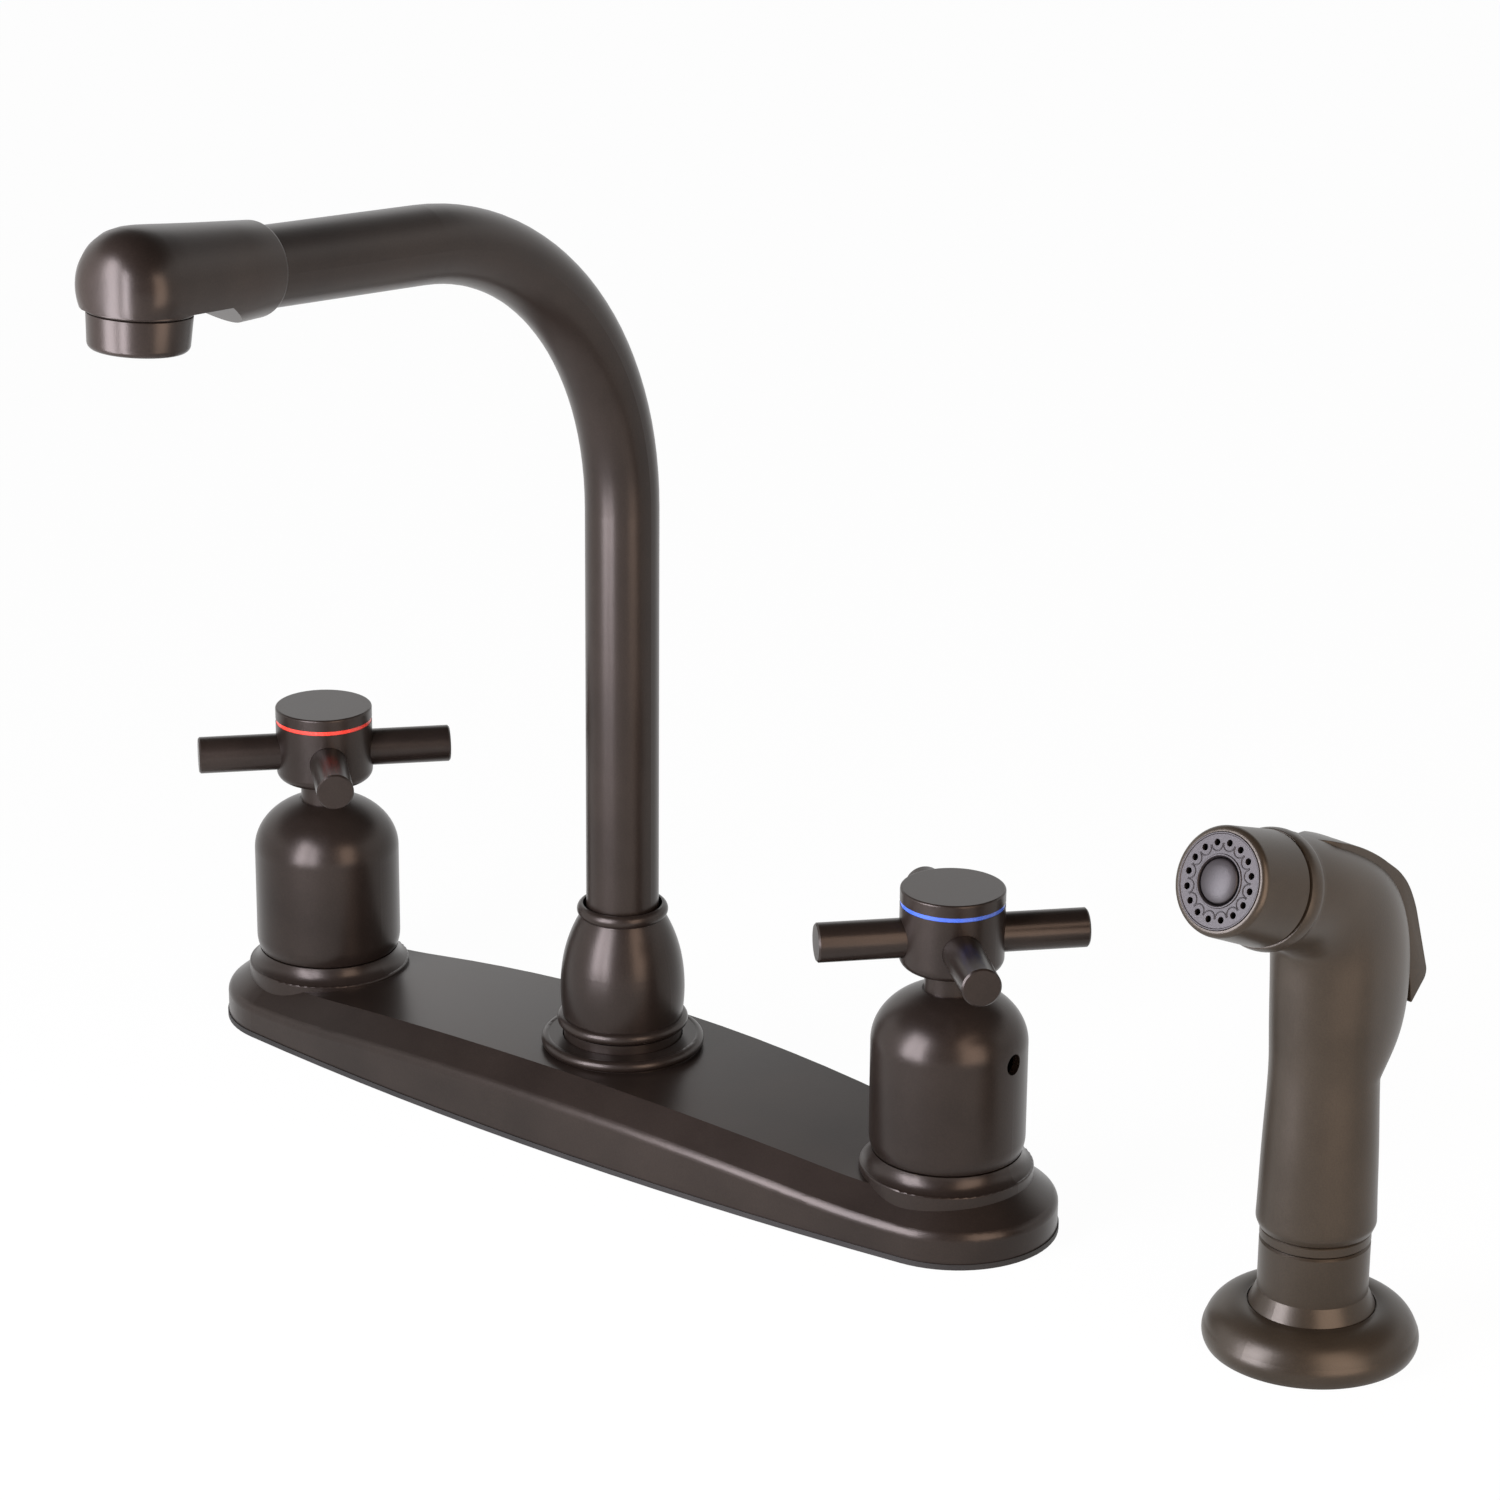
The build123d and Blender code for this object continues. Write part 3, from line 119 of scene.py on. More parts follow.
def seenByEye(tree):
    path = tree.nodes.new("ShaderNodeLightPath")
    first = tree.nodes.new("ShaderNodeMath")
    first.operation = "MAXIMUM"
    tree.links.new(path.outputs["Is Camera Ray"], first.inputs[0])
    tree.links.new(path.outputs["Is Glossy Ray"], first.inputs[1])
    second = tree.nodes.new("ShaderNodeMath")
    second.operation = "MAXIMUM"
    tree.links.new(first.outputs[0], second.inputs[0])
    tree.links.new(path.outputs["Is Transmission Ray"], second.inputs[1])
    return second.outputs[0]


def mixColors(tree, factor, dark, light):
    mix = tree.nodes.new("ShaderNodeMix")
    mix.data_type = "RGBA"
    mix.inputs[6].default_value = (*dark, 1)
    mix.inputs[7].default_value = (*light, 1)
    tree.links.new(factor, mix.inputs[0])
    return mix.outputs[2]


def spread(tree, value, low, high, span=(0.3, 0.7)):
    ranger = newNode(tree, "ShaderNodeMapRange", From_Min=span[0], From_Max=span[1], To_Min=low, To_Max=high)
    tree.links.new(value, ranger.inputs["Value"])
    return ranger.outputs["Result"]


def noiseAt(tree, place, scale, detail):
    noise = newNode(tree, "ShaderNodeTexNoise", Scale=scale, Detail=detail)
    tree.links.new(place, noise.inputs["Vector"])
    return noise.outputs["Fac"]


# every finish has a slow drift of colour, a fine grain and a bump; lengths are in metres
finishes = {
    "bronze": {"dark": (0.018, 0.0125, 0.0100), "light": (0.028, 0.0200, 0.0160), "metallic": 0.5,
               "specular": 0.45, "rough": (0.28, 0.33), "drift": 38.0, "grain": 2400.0, "bump": 0.000012,
               "flake": 0.10},
    "bronze_sprayer": {"dark": (0.028, 0.021, 0.014), "light": (0.040, 0.031, 0.022), "metallic": 0.4,
                       "specular": 0.45, "rough": (0.32, 0.38), "drift": 45.0, "grain": 2600.0,
                       "bump": 0.000016, "flake": 0.10},
    "spray_face": {"dark": (0.020, 0.017, 0.0185), "light": (0.029, 0.024, 0.027), "metallic": 0.3,
                   "specular": 0.5, "rough": (0.42, 0.50), "drift": 60.0, "grain": 3000.0, "bump": 0.000010,
                   "flake": 0.0},
    "gasket": {"dark": (0.010, 0.009, 0.009), "light": (0.018, 0.016, 0.015), "metallic": 0.0, "specular": 0.4,
               "rough": (0.50, 0.62), "drift": 60.0, "grain": 1800.0, "bump": 0.000020, "flake": 0.0},
    "brass": {"dark": (0.50, 0.33, 0.12), "light": (0.66, 0.46, 0.19), "metallic": 1.0, "specular": 0.5,
              "rough": (0.26, 0.38), "drift": 70.0, "grain": 1500.0, "bump": 0.000010, "flake": 0.0},
    "steel": {"dark": (0.38, 0.38, 0.39), "light": (0.55, 0.55, 0.56), "metallic": 1.0, "specular": 0.5,
              "rough": (0.26, 0.36), "drift": 80.0, "grain": 2000.0, "bump": 0.000008, "flake": 0.0},
    "ceramic": {"dark": (0.70, 0.68, 0.62), "light": (0.80, 0.78, 0.73), "metallic": 0.0, "specular": 0.5,
                "rough": (0.16, 0.24), "drift": 90.0, "grain": 2200.0, "bump": 0.000004, "flake": 0.0},
    "rubber": {"dark": (0.010, 0.010, 0.010), "light": (0.022, 0.021, 0.020), "metallic": 0.0, "specular": 0.35,
               "rough": (0.58, 0.72), "drift": 90.0, "grain": 1600.0, "bump": 0.000020, "flake": 0.0},
    "nylon": {"dark": (0.62, 0.60, 0.54), "light": (0.72, 0.70, 0.65), "metallic": 0.0, "specular": 0.5,
              "rough": (0.38, 0.50), "drift": 70.0, "grain": 1400.0, "bump": 0.000010, "flake": 0.0},
    "black_plastic": {"dark": (0.012, 0.012, 0.012), "light": (0.020, 0.020, 0.020), "metallic": 0.0,
                      "specular": 0.5, "rough": (0.36, 0.46), "drift": 60.0, "grain": 1500.0,
                      "bump": 0.000014, "flake": 0.0},
    "index_red": {"dark": (0.52, 0.030, 0.018), "light": (0.66, 0.045, 0.028), "metallic": 0.0, "specular": 0.5,
                  "rough": (0.22, 0.30), "drift": 120.0, "grain": 1800.0, "bump": 0.000004, "flake": 0.0},
    "index_blue": {"dark": (0.035, 0.085, 0.42), "light": (0.055, 0.13, 0.56), "metallic": 0.0, "specular": 0.5,
                   "rough": (0.22, 0.30), "drift": 120.0, "grain": 1800.0, "bump": 0.000004, "flake": 0.0},
}


def makeFinish(name, values):
    material = bpy.data.materials.new(name)
    material.use_nodes = True
    tree = material.node_tree
    shader = tree.nodes["Principled BSDF"]
    shader.inputs["Metallic"].default_value = values["metallic"]
    shader.inputs["Specular IOR Level"].default_value = values["specular"]
    place = tree.nodes.new("ShaderNodeTexCoord").outputs["Object"]
    drift = noiseAt(tree, place, values["drift"], detail=4.0)
    grain = noiseAt(tree, place, values["grain"], detail=3.0)
    color = mixColors(tree, spread(tree, drift, 0.0, 1.0), values["dark"], values["light"])
    if values["flake"]:
        sparkle = spread(tree, grain, 1 - values["flake"], 1 + values["flake"])
        scaled = tree.nodes.new("ShaderNodeVectorMath")
        scaled.operation = "SCALE"
        tree.links.new(color, scaled.inputs[0])
        tree.links.new(sparkle, scaled.inputs["Scale"])
        color = scaled.outputs[0]
    tree.links.new(color, shader.inputs["Base Color"])
    mixed = tree.nodes.new("ShaderNodeMath")
    mixed.operation = "ADD"
    tree.links.new(spread(tree, drift, 0.0, 0.5), mixed.inputs[0])
    tree.links.new(spread(tree, grain, 0.0, 0.5), mixed.inputs[1])
    rough = spread(tree, mixed.outputs[0], *values["rough"], span=(0.0, 1.0))
    tree.links.new(rough, shader.inputs["Roughness"])
    bump = newNode(tree, "ShaderNodeBump", Strength=1.0, Distance=values["bump"])
    tree.links.new(grain, bump.inputs["Height"])
    tree.links.new(bump.outputs["Normal"], shader.inputs["Normal"])
    return material


def grey(level):
    return (level, level, level, 1)


def makeWorld():
    world = bpy.data.worlds.new("room")
    bpy.context.scene.world = world
    world.use_nodes = True
    tree = world.node_tree
    direction = tree.nodes.new("ShaderNodeTexCoord").outputs["Generated"]
    parts = tree.nodes.new("ShaderNodeSeparateXYZ")
    tree.links.new(direction, parts.inputs[0])
    ramp = tree.nodes.new("ShaderNodeValToRGB")
    ramp.color_ramp.elements[0].position = 0.0
    ramp.color_ramp.elements[1].position = 1.0
    for element, key in zip(ramp.color_ramp.elements, ("horizonLight", "zenithLight")):
        element.color = grey(studio[key])
    for band in ("shoulder", "ceiling"):
        stop = ramp.color_ramp.elements.new(studio[band + "Height"])
        stop.color = grey(studio[band + "Light"])
    tree.links.new(parts.outputs["Z"], ramp.inputs["Fac"])
    tree.links.new(ramp.outputs["Color"], tree.nodes["Background"].inputs["Color"])
    facing = tree.nodes.new("ShaderNodeVectorMath")
    facing.operation = "DOT_PRODUCT"
    facing.inputs[1].default_value = studio["darkSide"]
    tree.links.new(direction, facing.inputs[0])
    shade = spread(tree, facing.outputs["Value"], 1.0, studio["darkShare"], span=studio["darkSpan"])
    tree.links.new(shade, tree.nodes["Background"].inputs["Strength"])


def makeFloor():
    bm = bmesh.new()
    bmesh.ops.create_grid(bm, x_segments=1, y_segments=1, size=studio["floorSize"] / 2)
    mesh = bpy.data.meshes.new("floor")
    bm.to_mesh(mesh)
    bm.free()
    floor = bpy.data.objects.new("floor", mesh)
    floor.location = (0, 0, -studio["floorDrop"])
    bpy.context.scene.collection.objects.link(floor)
    material = bpy.data.materials.new("floorPaint")
    material.use_nodes = True
    tree = material.node_tree
    tree.nodes.remove(tree.nodes["Principled BSDF"])
    paint = newNode(tree, "ShaderNodeBsdfDiffuse", Color=grey(studio["floorGrey"]))
    white = newNode(tree, "ShaderNodeEmission", Strength=1.0)
    share = tree.nodes.new("ShaderNodeMath")
    share.operation = "MULTIPLY"
    share.inputs[1].default_value = studio["floorWhite"]
    tree.links.new(seenByEye(tree), share.inputs[0])
    mix = tree.nodes.new("ShaderNodeMixShader")
    tree.links.new(share.outputs[0], mix.inputs[0])
    tree.links.new(paint.outputs[0], mix.inputs[1])
    tree.links.new(white.outputs[0], mix.inputs[2])
    tree.links.new(mix.outputs[0], tree.nodes["Material Output"].inputs["Surface"])
    floor.data.materials.append(material)


makeCamera()
makeWorld()
makeFloor()
for box in softBoxes:
    makeSoftBox(box)
print("studio ready")

materials = {name: makeFinish(name, values) for name, values in finishes.items()}
for part in record["subparts"]:
    mesh = nodes[part["node"]].data
    mesh.materials.clear()
    mesh.materials.append(materials[part["material_slot"]])
# centre_post wears dark bronze instead of its brass: partly the bronze seen at the vase foot, partly painted
# shade for the dark gap there; the set screws are shown in black plastic
paintedShadeAndBlackScrews = {"centre_post": "bronze", "hot_set_screw": "black_plastic", "cold_set_screw": "black_plastic"}
for name, finish in paintedShadeAndBlackScrews.items():
    nodes[name].data.materials[0] = materials[finish]
print("finishes on", len(record["subparts"]), "nodes")

mm = 0.001

# fineness of the modelled pieces, lengths in millimetres
fineness = {
    "cornerSteps": 6,
    "turnSteps": 96,
    "drumSides": 48,
    "weld": 0.002,
    "cutReach": 0.001,
    "sharpAngle": 32.0,
}

# frames of the spout's end and of the sprayer, in millimetres as in the CAD
places = {
    "spoutReach": 160.5,
    "spoutStraight": 161.5,
    "spoutBend": 79.7,
    "spoutRise": 5.25,          # degrees
    "sprayerX": 204.0,
    "sprayerY": 1.9,
    "sprayerTurn": -97.57,      # degrees about Z
    "faceReach": 40.57,
    "faceHeight": 125.2,
    "nozzleTilt": 21.13,        # degrees above level
}


def frameOf(origin, across, along):
    side = along.cross(across)
    return Matrix.Translation(Vector(origin) * mm) @ Matrix((across, side, along)).transposed().to_4x4()


def spoutRun():
    rise = math.radians(places["spoutRise"])
    bendY = -places["spoutBend"] * (1 - math.sin(rise))
    bendZ = places["spoutStraight"] + places["spoutBend"] * math.cos(rise)
    elbowZ = bendZ + (places["spoutReach"] + bendY) * math.tan(rise)
    return frameOf((0, -places["spoutReach"], elbowZ), Vector((0, math.sin(rise), math.cos(rise))),
                   Vector((0, -math.cos(rise), math.sin(rise))))


def sprayerFoot():
    return (Matrix.Translation(Vector((places["sprayerX"], places["sprayerY"], 0)) * mm)
            @ Matrix.Rotation(math.radians(places["sprayerTurn"]), 4, "Z"))


def sprayNozzle():
    tilt = math.radians(places["nozzleTilt"])
    return sprayerFoot() @ frameOf((places["faceReach"], 0, places["faceHeight"]),
                                   Vector((-math.sin(tilt), 0, math.cos(tilt))),
                                   Vector((math.cos(tilt), 0, math.sin(tilt))))


# turns Z along the run into Z up through the outlet
outletTurn = Matrix(((0, 0, 1, 0), (0, -1, 0, 0), (1, 0, 0, 0), (0, 0, 0, 1)))


def wireFrom(bm, points, closed=False):
    verts = [bm.verts.new(Vector(point) * mm) for point in points]
    for first, second in zip(verts, verts[1:] + verts[:1] if closed else verts[1:]):
        bm.edges.new((first, second))
    return verts


def roundCorners(bm, verts, sizes):
    for index, size in sizes.items():
        bmesh.ops.bevel(bm, geom=[verts[index]], offset=size * mm, offset_type="OFFSET",
                        segments=fineness["cornerSteps"], profile=0.5, affect="VERTICES", material=-1)


def turnedShape(outline, rounds=None, steps=fineness["turnSteps"]):
    bm = bmesh.new()
    closed = outline[0][0] > 0
    verts = wireFrom(bm, [(radius, 0, height) for radius, height in outline], closed)
    roundCorners(bm, verts, rounds or {})
    bmesh.ops.spin(bm, geom=bm.verts[:] + bm.edges[:], cent=(0, 0, 0), axis=(0, 0, 1), dvec=(0, 0, 0),
                   angle=2 * math.pi, steps=steps, use_merge=True)
    bmesh.ops.remove_doubles(bm, verts=bm.verts, dist=fineness["weld"] * mm)
    bmesh.ops.recalc_face_normals(bm, faces=bm.faces)
    return bm


def sidePrism(outline, halfWidth, rounds=None):
    bm = bmesh.new()
    verts = wireFrom(bm, [(x, -halfWidth, z) for x, z in outline], closed=True)
    roundCorners(bm, verts, rounds or {})
    bmesh.ops.contextual_create(bm, geom=bm.edges[:])
    grown = bmesh.ops.extrude_face_region(bm, geom=bm.faces[:])
    ends = [item for item in grown["geom"] if isinstance(item, bmesh.types.BMVert)]
    bmesh.ops.translate(bm, verts=ends, vec=(0, 2 * halfWidth * mm, 0))
    bmesh.ops.recalc_face_normals(bm, faces=bm.faces)
    return bm


def drum(radius, bottom, top, middle=(0, 0)):
    bm = bmesh.new()
    place = Matrix.Translation(Vector((middle[0], middle[1], (bottom + top) / 2)) * mm)
    bmesh.ops.create_cone(bm, cap_ends=True, segments=fineness["drumSides"], radius1=radius * mm,
                          radius2=radius * mm, depth=(top - bottom) * mm, matrix=place)
    return bm


def meshObject(name, bm, place):
    bm.transform(place)
    mesh = bpy.data.meshes.new(name)
    bm.to_mesh(mesh)
    bm.free()
    item = bpy.data.objects.new(name, mesh)
    bpy.context.scene.collection.objects.link(item)
    return item


def keepResult(item):
    mesh = bpy.data.meshes.new_from_object(item.evaluated_get(bpy.context.evaluated_depsgraph_get()))
    item.modifiers.clear()
    item.data = mesh


def carve(item, bm, place, operation="DIFFERENCE", solver="EXACT"):
    tool = meshObject("tool", bm, place)
    for each in (item, tool):
        each.data.transform(Matrix.Scale(1 / mm, 4))     # the cut is exact at a larger scale
    change = item.modifiers.new("carve", "BOOLEAN")
    change.operation = operation
    change.object = tool
    change.solver = solver
    keepResult(item)
    item.data.transform(Matrix.Scale(mm, 4))
    bpy.data.objects.remove(tool)


def shadeSmooth(item):
    bm = bmesh.new()
    bm.from_mesh(item.data)
    for face in bm.faces:
        face.smooth = True
    for edge in bm.edges:
        edge.smooth = edge.calc_face_angle(math.pi) < math.radians(fineness["sharpAngle"])
    bm.to_mesh(item.data)
    bm.free()


def dress(item, body, slot, replaced):
    shadeSmooth(item)
    item.data.materials.clear()
    item.data.materials.append(materials[slot])
    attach(item, body)
    if replaced:
        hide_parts(replaced)


# radius against the distance along the run, from the elbow centre
spoutHead = {
    "outline": [(0, -35.0), (10.65, -35.0), (11.2, -25.0), (11.6, -17.8), (12.1, -10.0), (12.45, -5.0),
                (12.75, 0), (12.75, 12.3), (0, 12.85)],
    "rounds": {1: 1.2, 7: 9.6},
    "under": [(-5.2, 30), (-5.2, -17.8), (-17.95, -39.9), (-40, 30)],    # cut away on the underside
    "underHalf": 30,
    "rimRadius": 11.8,
    "rimChamfer": 0.3,
    "rimBottom": -5.8,
    "overlap": 1,
    "flat": -5.2,
    "socketRadius": 9.2,
    "socketStart": -36,
    "socketEnd": -29.0,
    "outletRadius": 9.85,
    "outletTop": -0.9,
}


def makeSpoutHead():
    run = spoutRun()
    outlet = run @ outletTurn
    head = meshObject("spoutHead", turnedShape(spoutHead["outline"], spoutHead["rounds"]), run)
    carve(head, sidePrism(spoutHead["under"], spoutHead["underHalf"]), run)
    rim, edge = spoutHead["rimRadius"], spoutHead["rimChamfer"]
    overlap = spoutHead["overlap"]
    bottom, top = spoutHead["rimBottom"], spoutHead["flat"] + overlap
    rimShape = [(0, bottom), (rim - edge, bottom), (rim, bottom + edge), (rim, top), (0, top)]
    carve(head, turnedShape(rimShape), outlet, "UNION")
    carve(head, drum(spoutHead["socketRadius"], spoutHead["socketStart"], spoutHead["socketEnd"]), run)
    carve(head, drum(spoutHead["outletRadius"], bottom - overlap, spoutHead["outletTop"]), outlet)
    dress(head, "spout", "bronze", "spout_head")


# radius against the height on the outlet axis
aerator = {
    "outline": [(7.6, -14.0), (11.0, -14.0), (11.5, -6.0), (9.8, -6.0), (9.8, -2.6), (8.8, -2.6), (8.8, -12.8),
                (7.6, -12.8)],
    "rounds": {1: 1.5, 2: 0.25},
}


def makeAerator():
    shape = turnedShape(aerator["outline"], aerator["rounds"])
    ring = meshObject("aeratorRing", shape, spoutRun() @ outletTurn)
    dress(ring, "spout", "bronze", "aerator_housing")


makeSpoutHead()
makeAerator()
print("spout head and aerator made")

# round sections of the grip and the nozzle: radius, height, crease
# sections between them, in the side view: front point, back point, front reach, half width, crease
# wells for the valve: radius, bottom, top
handle = {
    "sides": 32,
    "grip": [(6.2, 37.8, 1), (6.2, 29.8, 1), (13.2, 29.8, 0.9), (13.95, 31.6, 0.5), (13.7, 38.0, 0),
             (13.45, 49.8, 0), (12.95, 60.0, 0)],
    "sections": [
        ((12.7, 67.4), (-12.7, 67.4), 12.7, 12.7, 0.9),
        ((12.7, 72.3), (-19.7, 72.3), 12.7, 12.8, 0),
        ((13.2, 79.1), (-23.9, 79.1), 13.2, 13.1, 0),
        ((13.7, 94.0), (-24.4, 94.8), 13.7, 13.4, 0),
        ((14.0, 99.6), (-19.0, 111.4), 13.7, 13.4, 0),
        ((15.6, 101.2), (-6.2, 121.0), 13.7, 13.4, 0),
        ((18.0, 103.2), (8.0, 127.4), 13.7, 13.4, 0),
    ],
    "nozzle": [(13.5, -20.4, 0.8), (13.95, -19.4, 0.2), (13.9, -17.4, 0.2), (13.35, -15.9, 0.8),
               (10.6, -15.9, 1), (10.6, -24.3, 1)],
    "smooth": 3,
    "channel": [(14.4, 150), (14.4, 124.7), (13.6, 124.4), (4.0, 120.6), (-3.7, 116.1), (-13.9, 106.5),
                (-17.0, 100.6), (-19.6, 80.8), (-20.0, 75.4), (-50, 75.4), (-50, 150)],
    "channelHalf": 5.4,
    "frontHalf": 1.8,
    "narrowsAt": 5.5,
    "frontEnd": 14.4,
    "wells": [(5.2, 69.0, 83.2), (2.6, 83.1, 88.3), (2.0, 88.2, 100.2), (4.5, 100.1, 116.0)],
    "wellBack": -7.0,
}


def eggRing(bm, front, back, frontReach, halfWidth):
    span = Vector((front[0] - back[0], 0, front[1] - back[1]))
    along = span.normalized()
    middle = Vector((front[0], 0, front[1])) - along * frontReach
    up = along.cross(Vector((0, 1, 0)))
    turn = Matrix((along, Vector((0, 1, 0)), up)).transposed().to_4x4()
    ring = bmesh.ops.create_circle(bm, segments=handle["sides"], radius=1)["verts"]
    for vert in ring:
        reach = frontReach if vert.co.x > 0 else span.length - frontReach
        vert.co = (vert.co.x * reach * mm, vert.co.y * halfWidth * mm, 0)
    bmesh.ops.transform(bm, matrix=Matrix.Translation(middle * mm) @ turn, verts=ring)
    return ring


def nozzleRing(bm, radius, height):
    ring = bmesh.ops.create_circle(bm, segments=handle["sides"], radius=radius * mm)["verts"]
    local = sprayerFoot().inverted() @ sprayNozzle()
    side = Matrix.Translation((0, 0, height * mm)) @ Matrix.Rotation(math.pi, 4, "Z")
    bmesh.ops.transform(bm, matrix=local @ side, verts=ring)
    return ring


def narrowed(bm, halfWidth, piece):
    narrowsAt, frontEnd, frontHalf = piece["narrowsAt"], piece["frontEnd"], piece["frontHalf"]
    for side in (-1, 1):
        start = Vector((narrowsAt, side * halfWidth, 0))
        end = Vector((frontEnd, side * frontHalf, 0))
        normal = Vector((-(end - start).y, (end - start).x, 0)) * side
        bmesh.ops.bisect_plane(bm, geom=bm.verts[:] + bm.edges[:] + bm.faces[:], dist=fineness["cutReach"] * mm,
                               plane_co=start * mm, plane_no=normal, clear_outer=True)
        bmesh.ops.holes_fill(bm, edges=[edge for edge in bm.edges if edge.is_boundary], sides=0)
    bmesh.ops.recalc_face_normals(bm, faces=bm.faces)
    return bm


def makeHandle():
    bm = bmesh.new()
    rings = [eggRing(bm, (radius, height), (-radius, height), radius, radius)
             for radius, height, crease in handle["grip"]]
    rings += [eggRing(bm, *section[:4]) for section in handle["sections"]]
    rings += [nozzleRing(bm, radius, height) for radius, height, crease in handle["nozzle"]]
    creases = [row[-1] for row in handle["grip"] + handle["sections"] + handle["nozzle"]]
    layer = bm.edges.layers.float.new("crease_edge")
    for ring, crease in zip(rings, creases):
        for edge in {edge for vert in ring for edge in vert.link_edges}:
            edge[layer] = crease
    backOnly = rings[len(handle["grip"])]     # below the palm swell the crease stays at the back
    for edge in {edge for vert in backOnly for edge in vert.link_edges}:
        if sum(vert.co.x for vert in edge.verts) > 0:
            edge[layer] = 0
    for lower, upper in zip(rings, rings[1:]):
        ends = (set(lower), set(upper))
        loops = [edge for edge in bm.edges if any(end.issuperset(edge.verts) for end in ends)]
        bmesh.ops.bridge_loops(bm, edges=loops)
    bmesh.ops.holes_fill(bm, edges=[edge for edge in bm.edges if edge.is_boundary], sides=0)
    bmesh.ops.recalc_face_normals(bm, faces=bm.faces)
    body = meshObject("sprayerHandle", bm, sprayerFoot())
    smooth = body.modifiers.new("smooth", "SUBSURF")
    smooth.levels = smooth.render_levels = handle["smooth"]
    keepResult(body)
    for radius, bottom, top in handle["wells"]:
        carve(body, drum(radius, bottom, top, (handle["wellBack"], 0)), sprayerFoot(), solver="FAST")
    half = handle["channelHalf"]
    carve(body, narrowed(sidePrism(handle["channel"], half), half, handle), sprayerFoot(), solver="FAST")
    dress(body, "sprayer", "bronze_sprayer", "sprayer_body")


# side outline of the thumb lever, from the front end over the crest to the tip and back
lever = {
    "outline": [(14.1, 128.6), (4.4, 126.1), (-6.9, 120.9), (-19.0, 112.0), (-23.4, 105.0), (-29.8, 85.0),
                (-24.2, 78.8), (-23.6, 83.5), (-19.4, 103.0), (-15.5, 108.6), (-4.5, 117.2), (4.0, 121.0),
                (13.6, 124.8)],
    "rounds": {1: 4.5, 2: 5.5, 3: 3.9, 4: 3.9, 5: 1.8, 6: 0.8},
    "halfWidth": 5.0,
    "frontHalf": 1.4,
    "narrowsAt": 5.5,
    "frontEnd": 14.1,
    "edge": 0.7,
    "edgeSteps": 4,
    "edgeAngle": 50,
}


def makeLever():
    half = lever["halfWidth"]
    piece = meshObject("thumbLever", narrowed(sidePrism(lever["outline"], half, lever["rounds"]), half, lever),
                       sprayerFoot())
    edges = piece.modifiers.new("edges", "BEVEL")
    edges.width = lever["edge"] * mm
    edges.segments = lever["edgeSteps"]
    edges.limit_method = "ANGLE"
    edges.angle_limit = math.radians(lever["edgeAngle"])
    keepResult(piece)
    dress(piece, "lever", "bronze_sprayer", "thumb_lever")


leverPin = {"radius": 1.5, "half": 5.35, "place": (4.0, 0, 121.5), "edge": 0.3, "steps": 32}


def makePin():
    half, edge, radius = leverPin["half"], leverPin["edge"], leverPin["radius"]
    outline = [(0, -half), (radius - edge, -half), (radius, -half + edge), (radius, half - edge),
               (radius - edge, half), (0, half)]
    turn = Matrix.Translation(Vector(leverPin["place"]) * mm) @ Matrix.Rotation(math.pi / 2, 4, "X")
    pin = meshObject("leverPin", turnedShape(outline, steps=leverPin["steps"]), sprayerFoot() @ turn)
    dress(pin, "sprayer", "bronze_sprayer", "lever_pin")


# radius against the height on the nozzle axis
# the face carries jets, a low ridge inside each, and a rim round the cap
sprayFace = {
    "outline": [(5.3, -3.0), (10.75, -3.0), (10.75, 0.22), (10.45, 0.22), (10.3, 0), (6.05, 0), (5.95, 0.3),
                (5.6, 0.3), (5.3, -0.2)],
    "rounds": {2: 0.08, 3: 0.08, 6: 0.1, 7: 0.1},
    "jets": 16,
    "circle": 8.55,
    "jetRadius": 0.78,
    "jetSides": 20,
    "drillLength": 9,
    "ridgeRadius": 1.5,
    "ridgeShift": 0.35,
    "ridgeWidth": 0.16,
    "ridgeSides": 8,
    "ridgeSteps": 12,
}


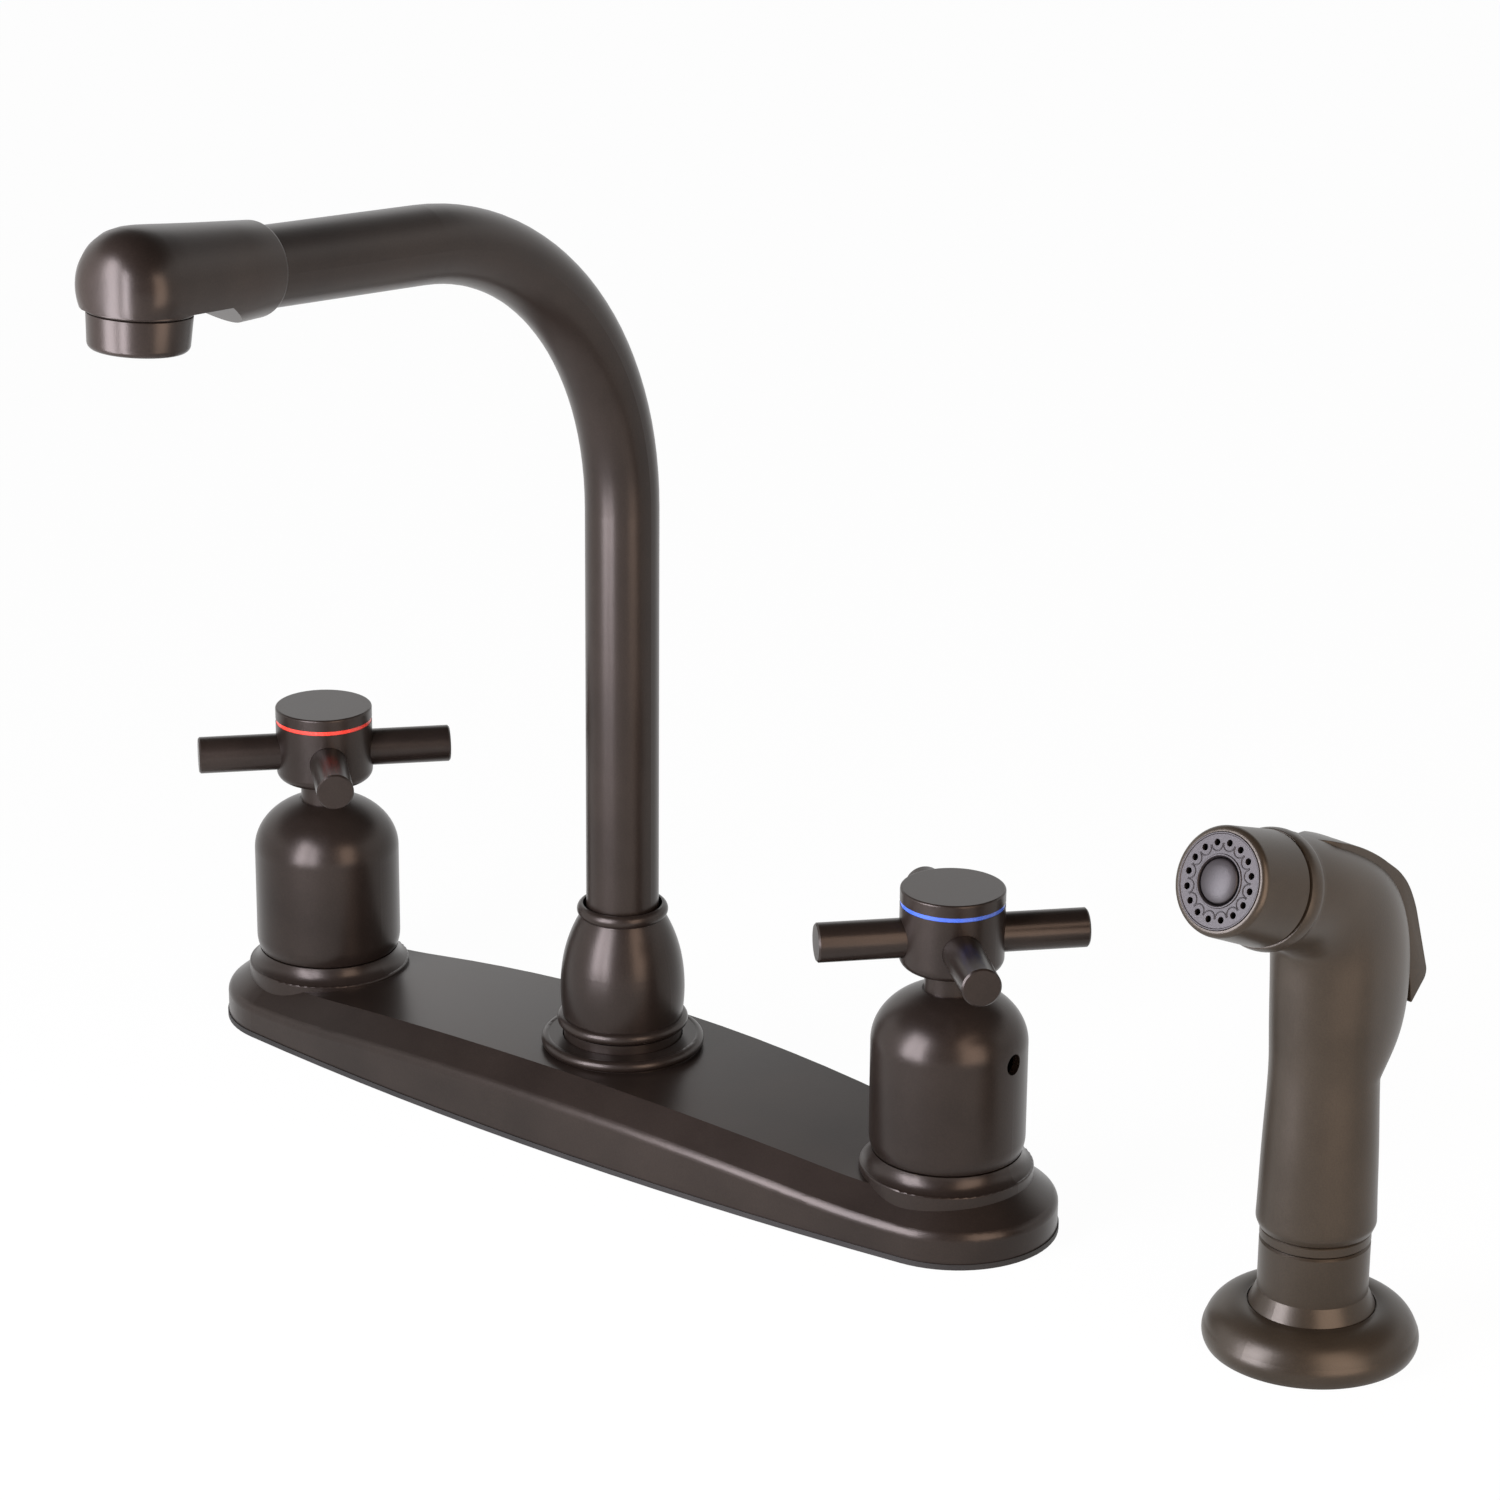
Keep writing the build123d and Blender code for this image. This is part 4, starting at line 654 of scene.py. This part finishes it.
def makeSprayFace():
    face = meshObject("sprayFace", turnedShape(sprayFace["outline"], sprayFace["rounds"]), sprayNozzle())
    drills = bmesh.new()
    ridges = bmesh.new()
    for step in range(sprayFace["jets"]):
        turn = Matrix.Rotation(2 * math.pi * step / sprayFace["jets"], 4, "Z")
        out = turn @ Matrix.Translation((sprayFace["circle"] * mm, 0, 0))
        bmesh.ops.create_cone(drills, cap_ends=True, segments=sprayFace["jetSides"],
                              radius1=sprayFace["jetRadius"] * mm, radius2=sprayFace["jetRadius"] * mm,
                              depth=sprayFace["drillLength"] * mm, matrix=out)
        inner = out @ Matrix.Translation((-sprayFace["ridgeShift"] * mm, 0, 0))
        wire = Matrix.Translation((0, sprayFace["ridgeRadius"] * mm, 0)) @ Matrix.Rotation(math.pi / 2, 4, "Y")
        ring = bmesh.ops.create_circle(ridges, cap_ends=True, segments=sprayFace["ridgeSides"],
                                       radius=sprayFace["ridgeWidth"] * mm, matrix=inner @ wire)["verts"]
        disc = ring[0].link_faces[0]
        geom = disc.verts[:] + disc.edges[:] + [disc]
        bmesh.ops.spin(ridges, geom=geom, cent=inner.translation, axis=(0, 0, 1), dvec=(0, 0, 0), angle=math.pi,
                       steps=sprayFace["ridgeSteps"])     # half a turn, on the cap's side
    bmesh.ops.recalc_face_normals(ridges, faces=ridges.faces)
    carve(face, drills, sprayNozzle())
    dress(face, "sprayer", "spray_face", "spray_face")
    crescents = meshObject("sprayRidges", ridges, sprayNozzle())
    dress(crescents, "sprayer", "spray_face", None)


# radius against the height on the nozzle axis
faceCap = {
    "outline": [(0, 1.05), (1.2, 1.02), (2.6, 0.86), (3.9, 0.56), (4.9, 0.1), (5.1, -1.0), (0, -1.0)],
    "rounds": {2: 0.6, 3: 0.6, 4: 0.25},
}


def makeFaceCap():
    cap = meshObject("faceCap", turnedShape(faceCap["outline"], faceCap["rounds"]), sprayNozzle())
    dress(cap, "sprayer", "spray_face", "face_cap")


makeHandle()
makeLever()
makePin()
makeSprayFace()
makeFaceCap()
print("sprayer pieces made")
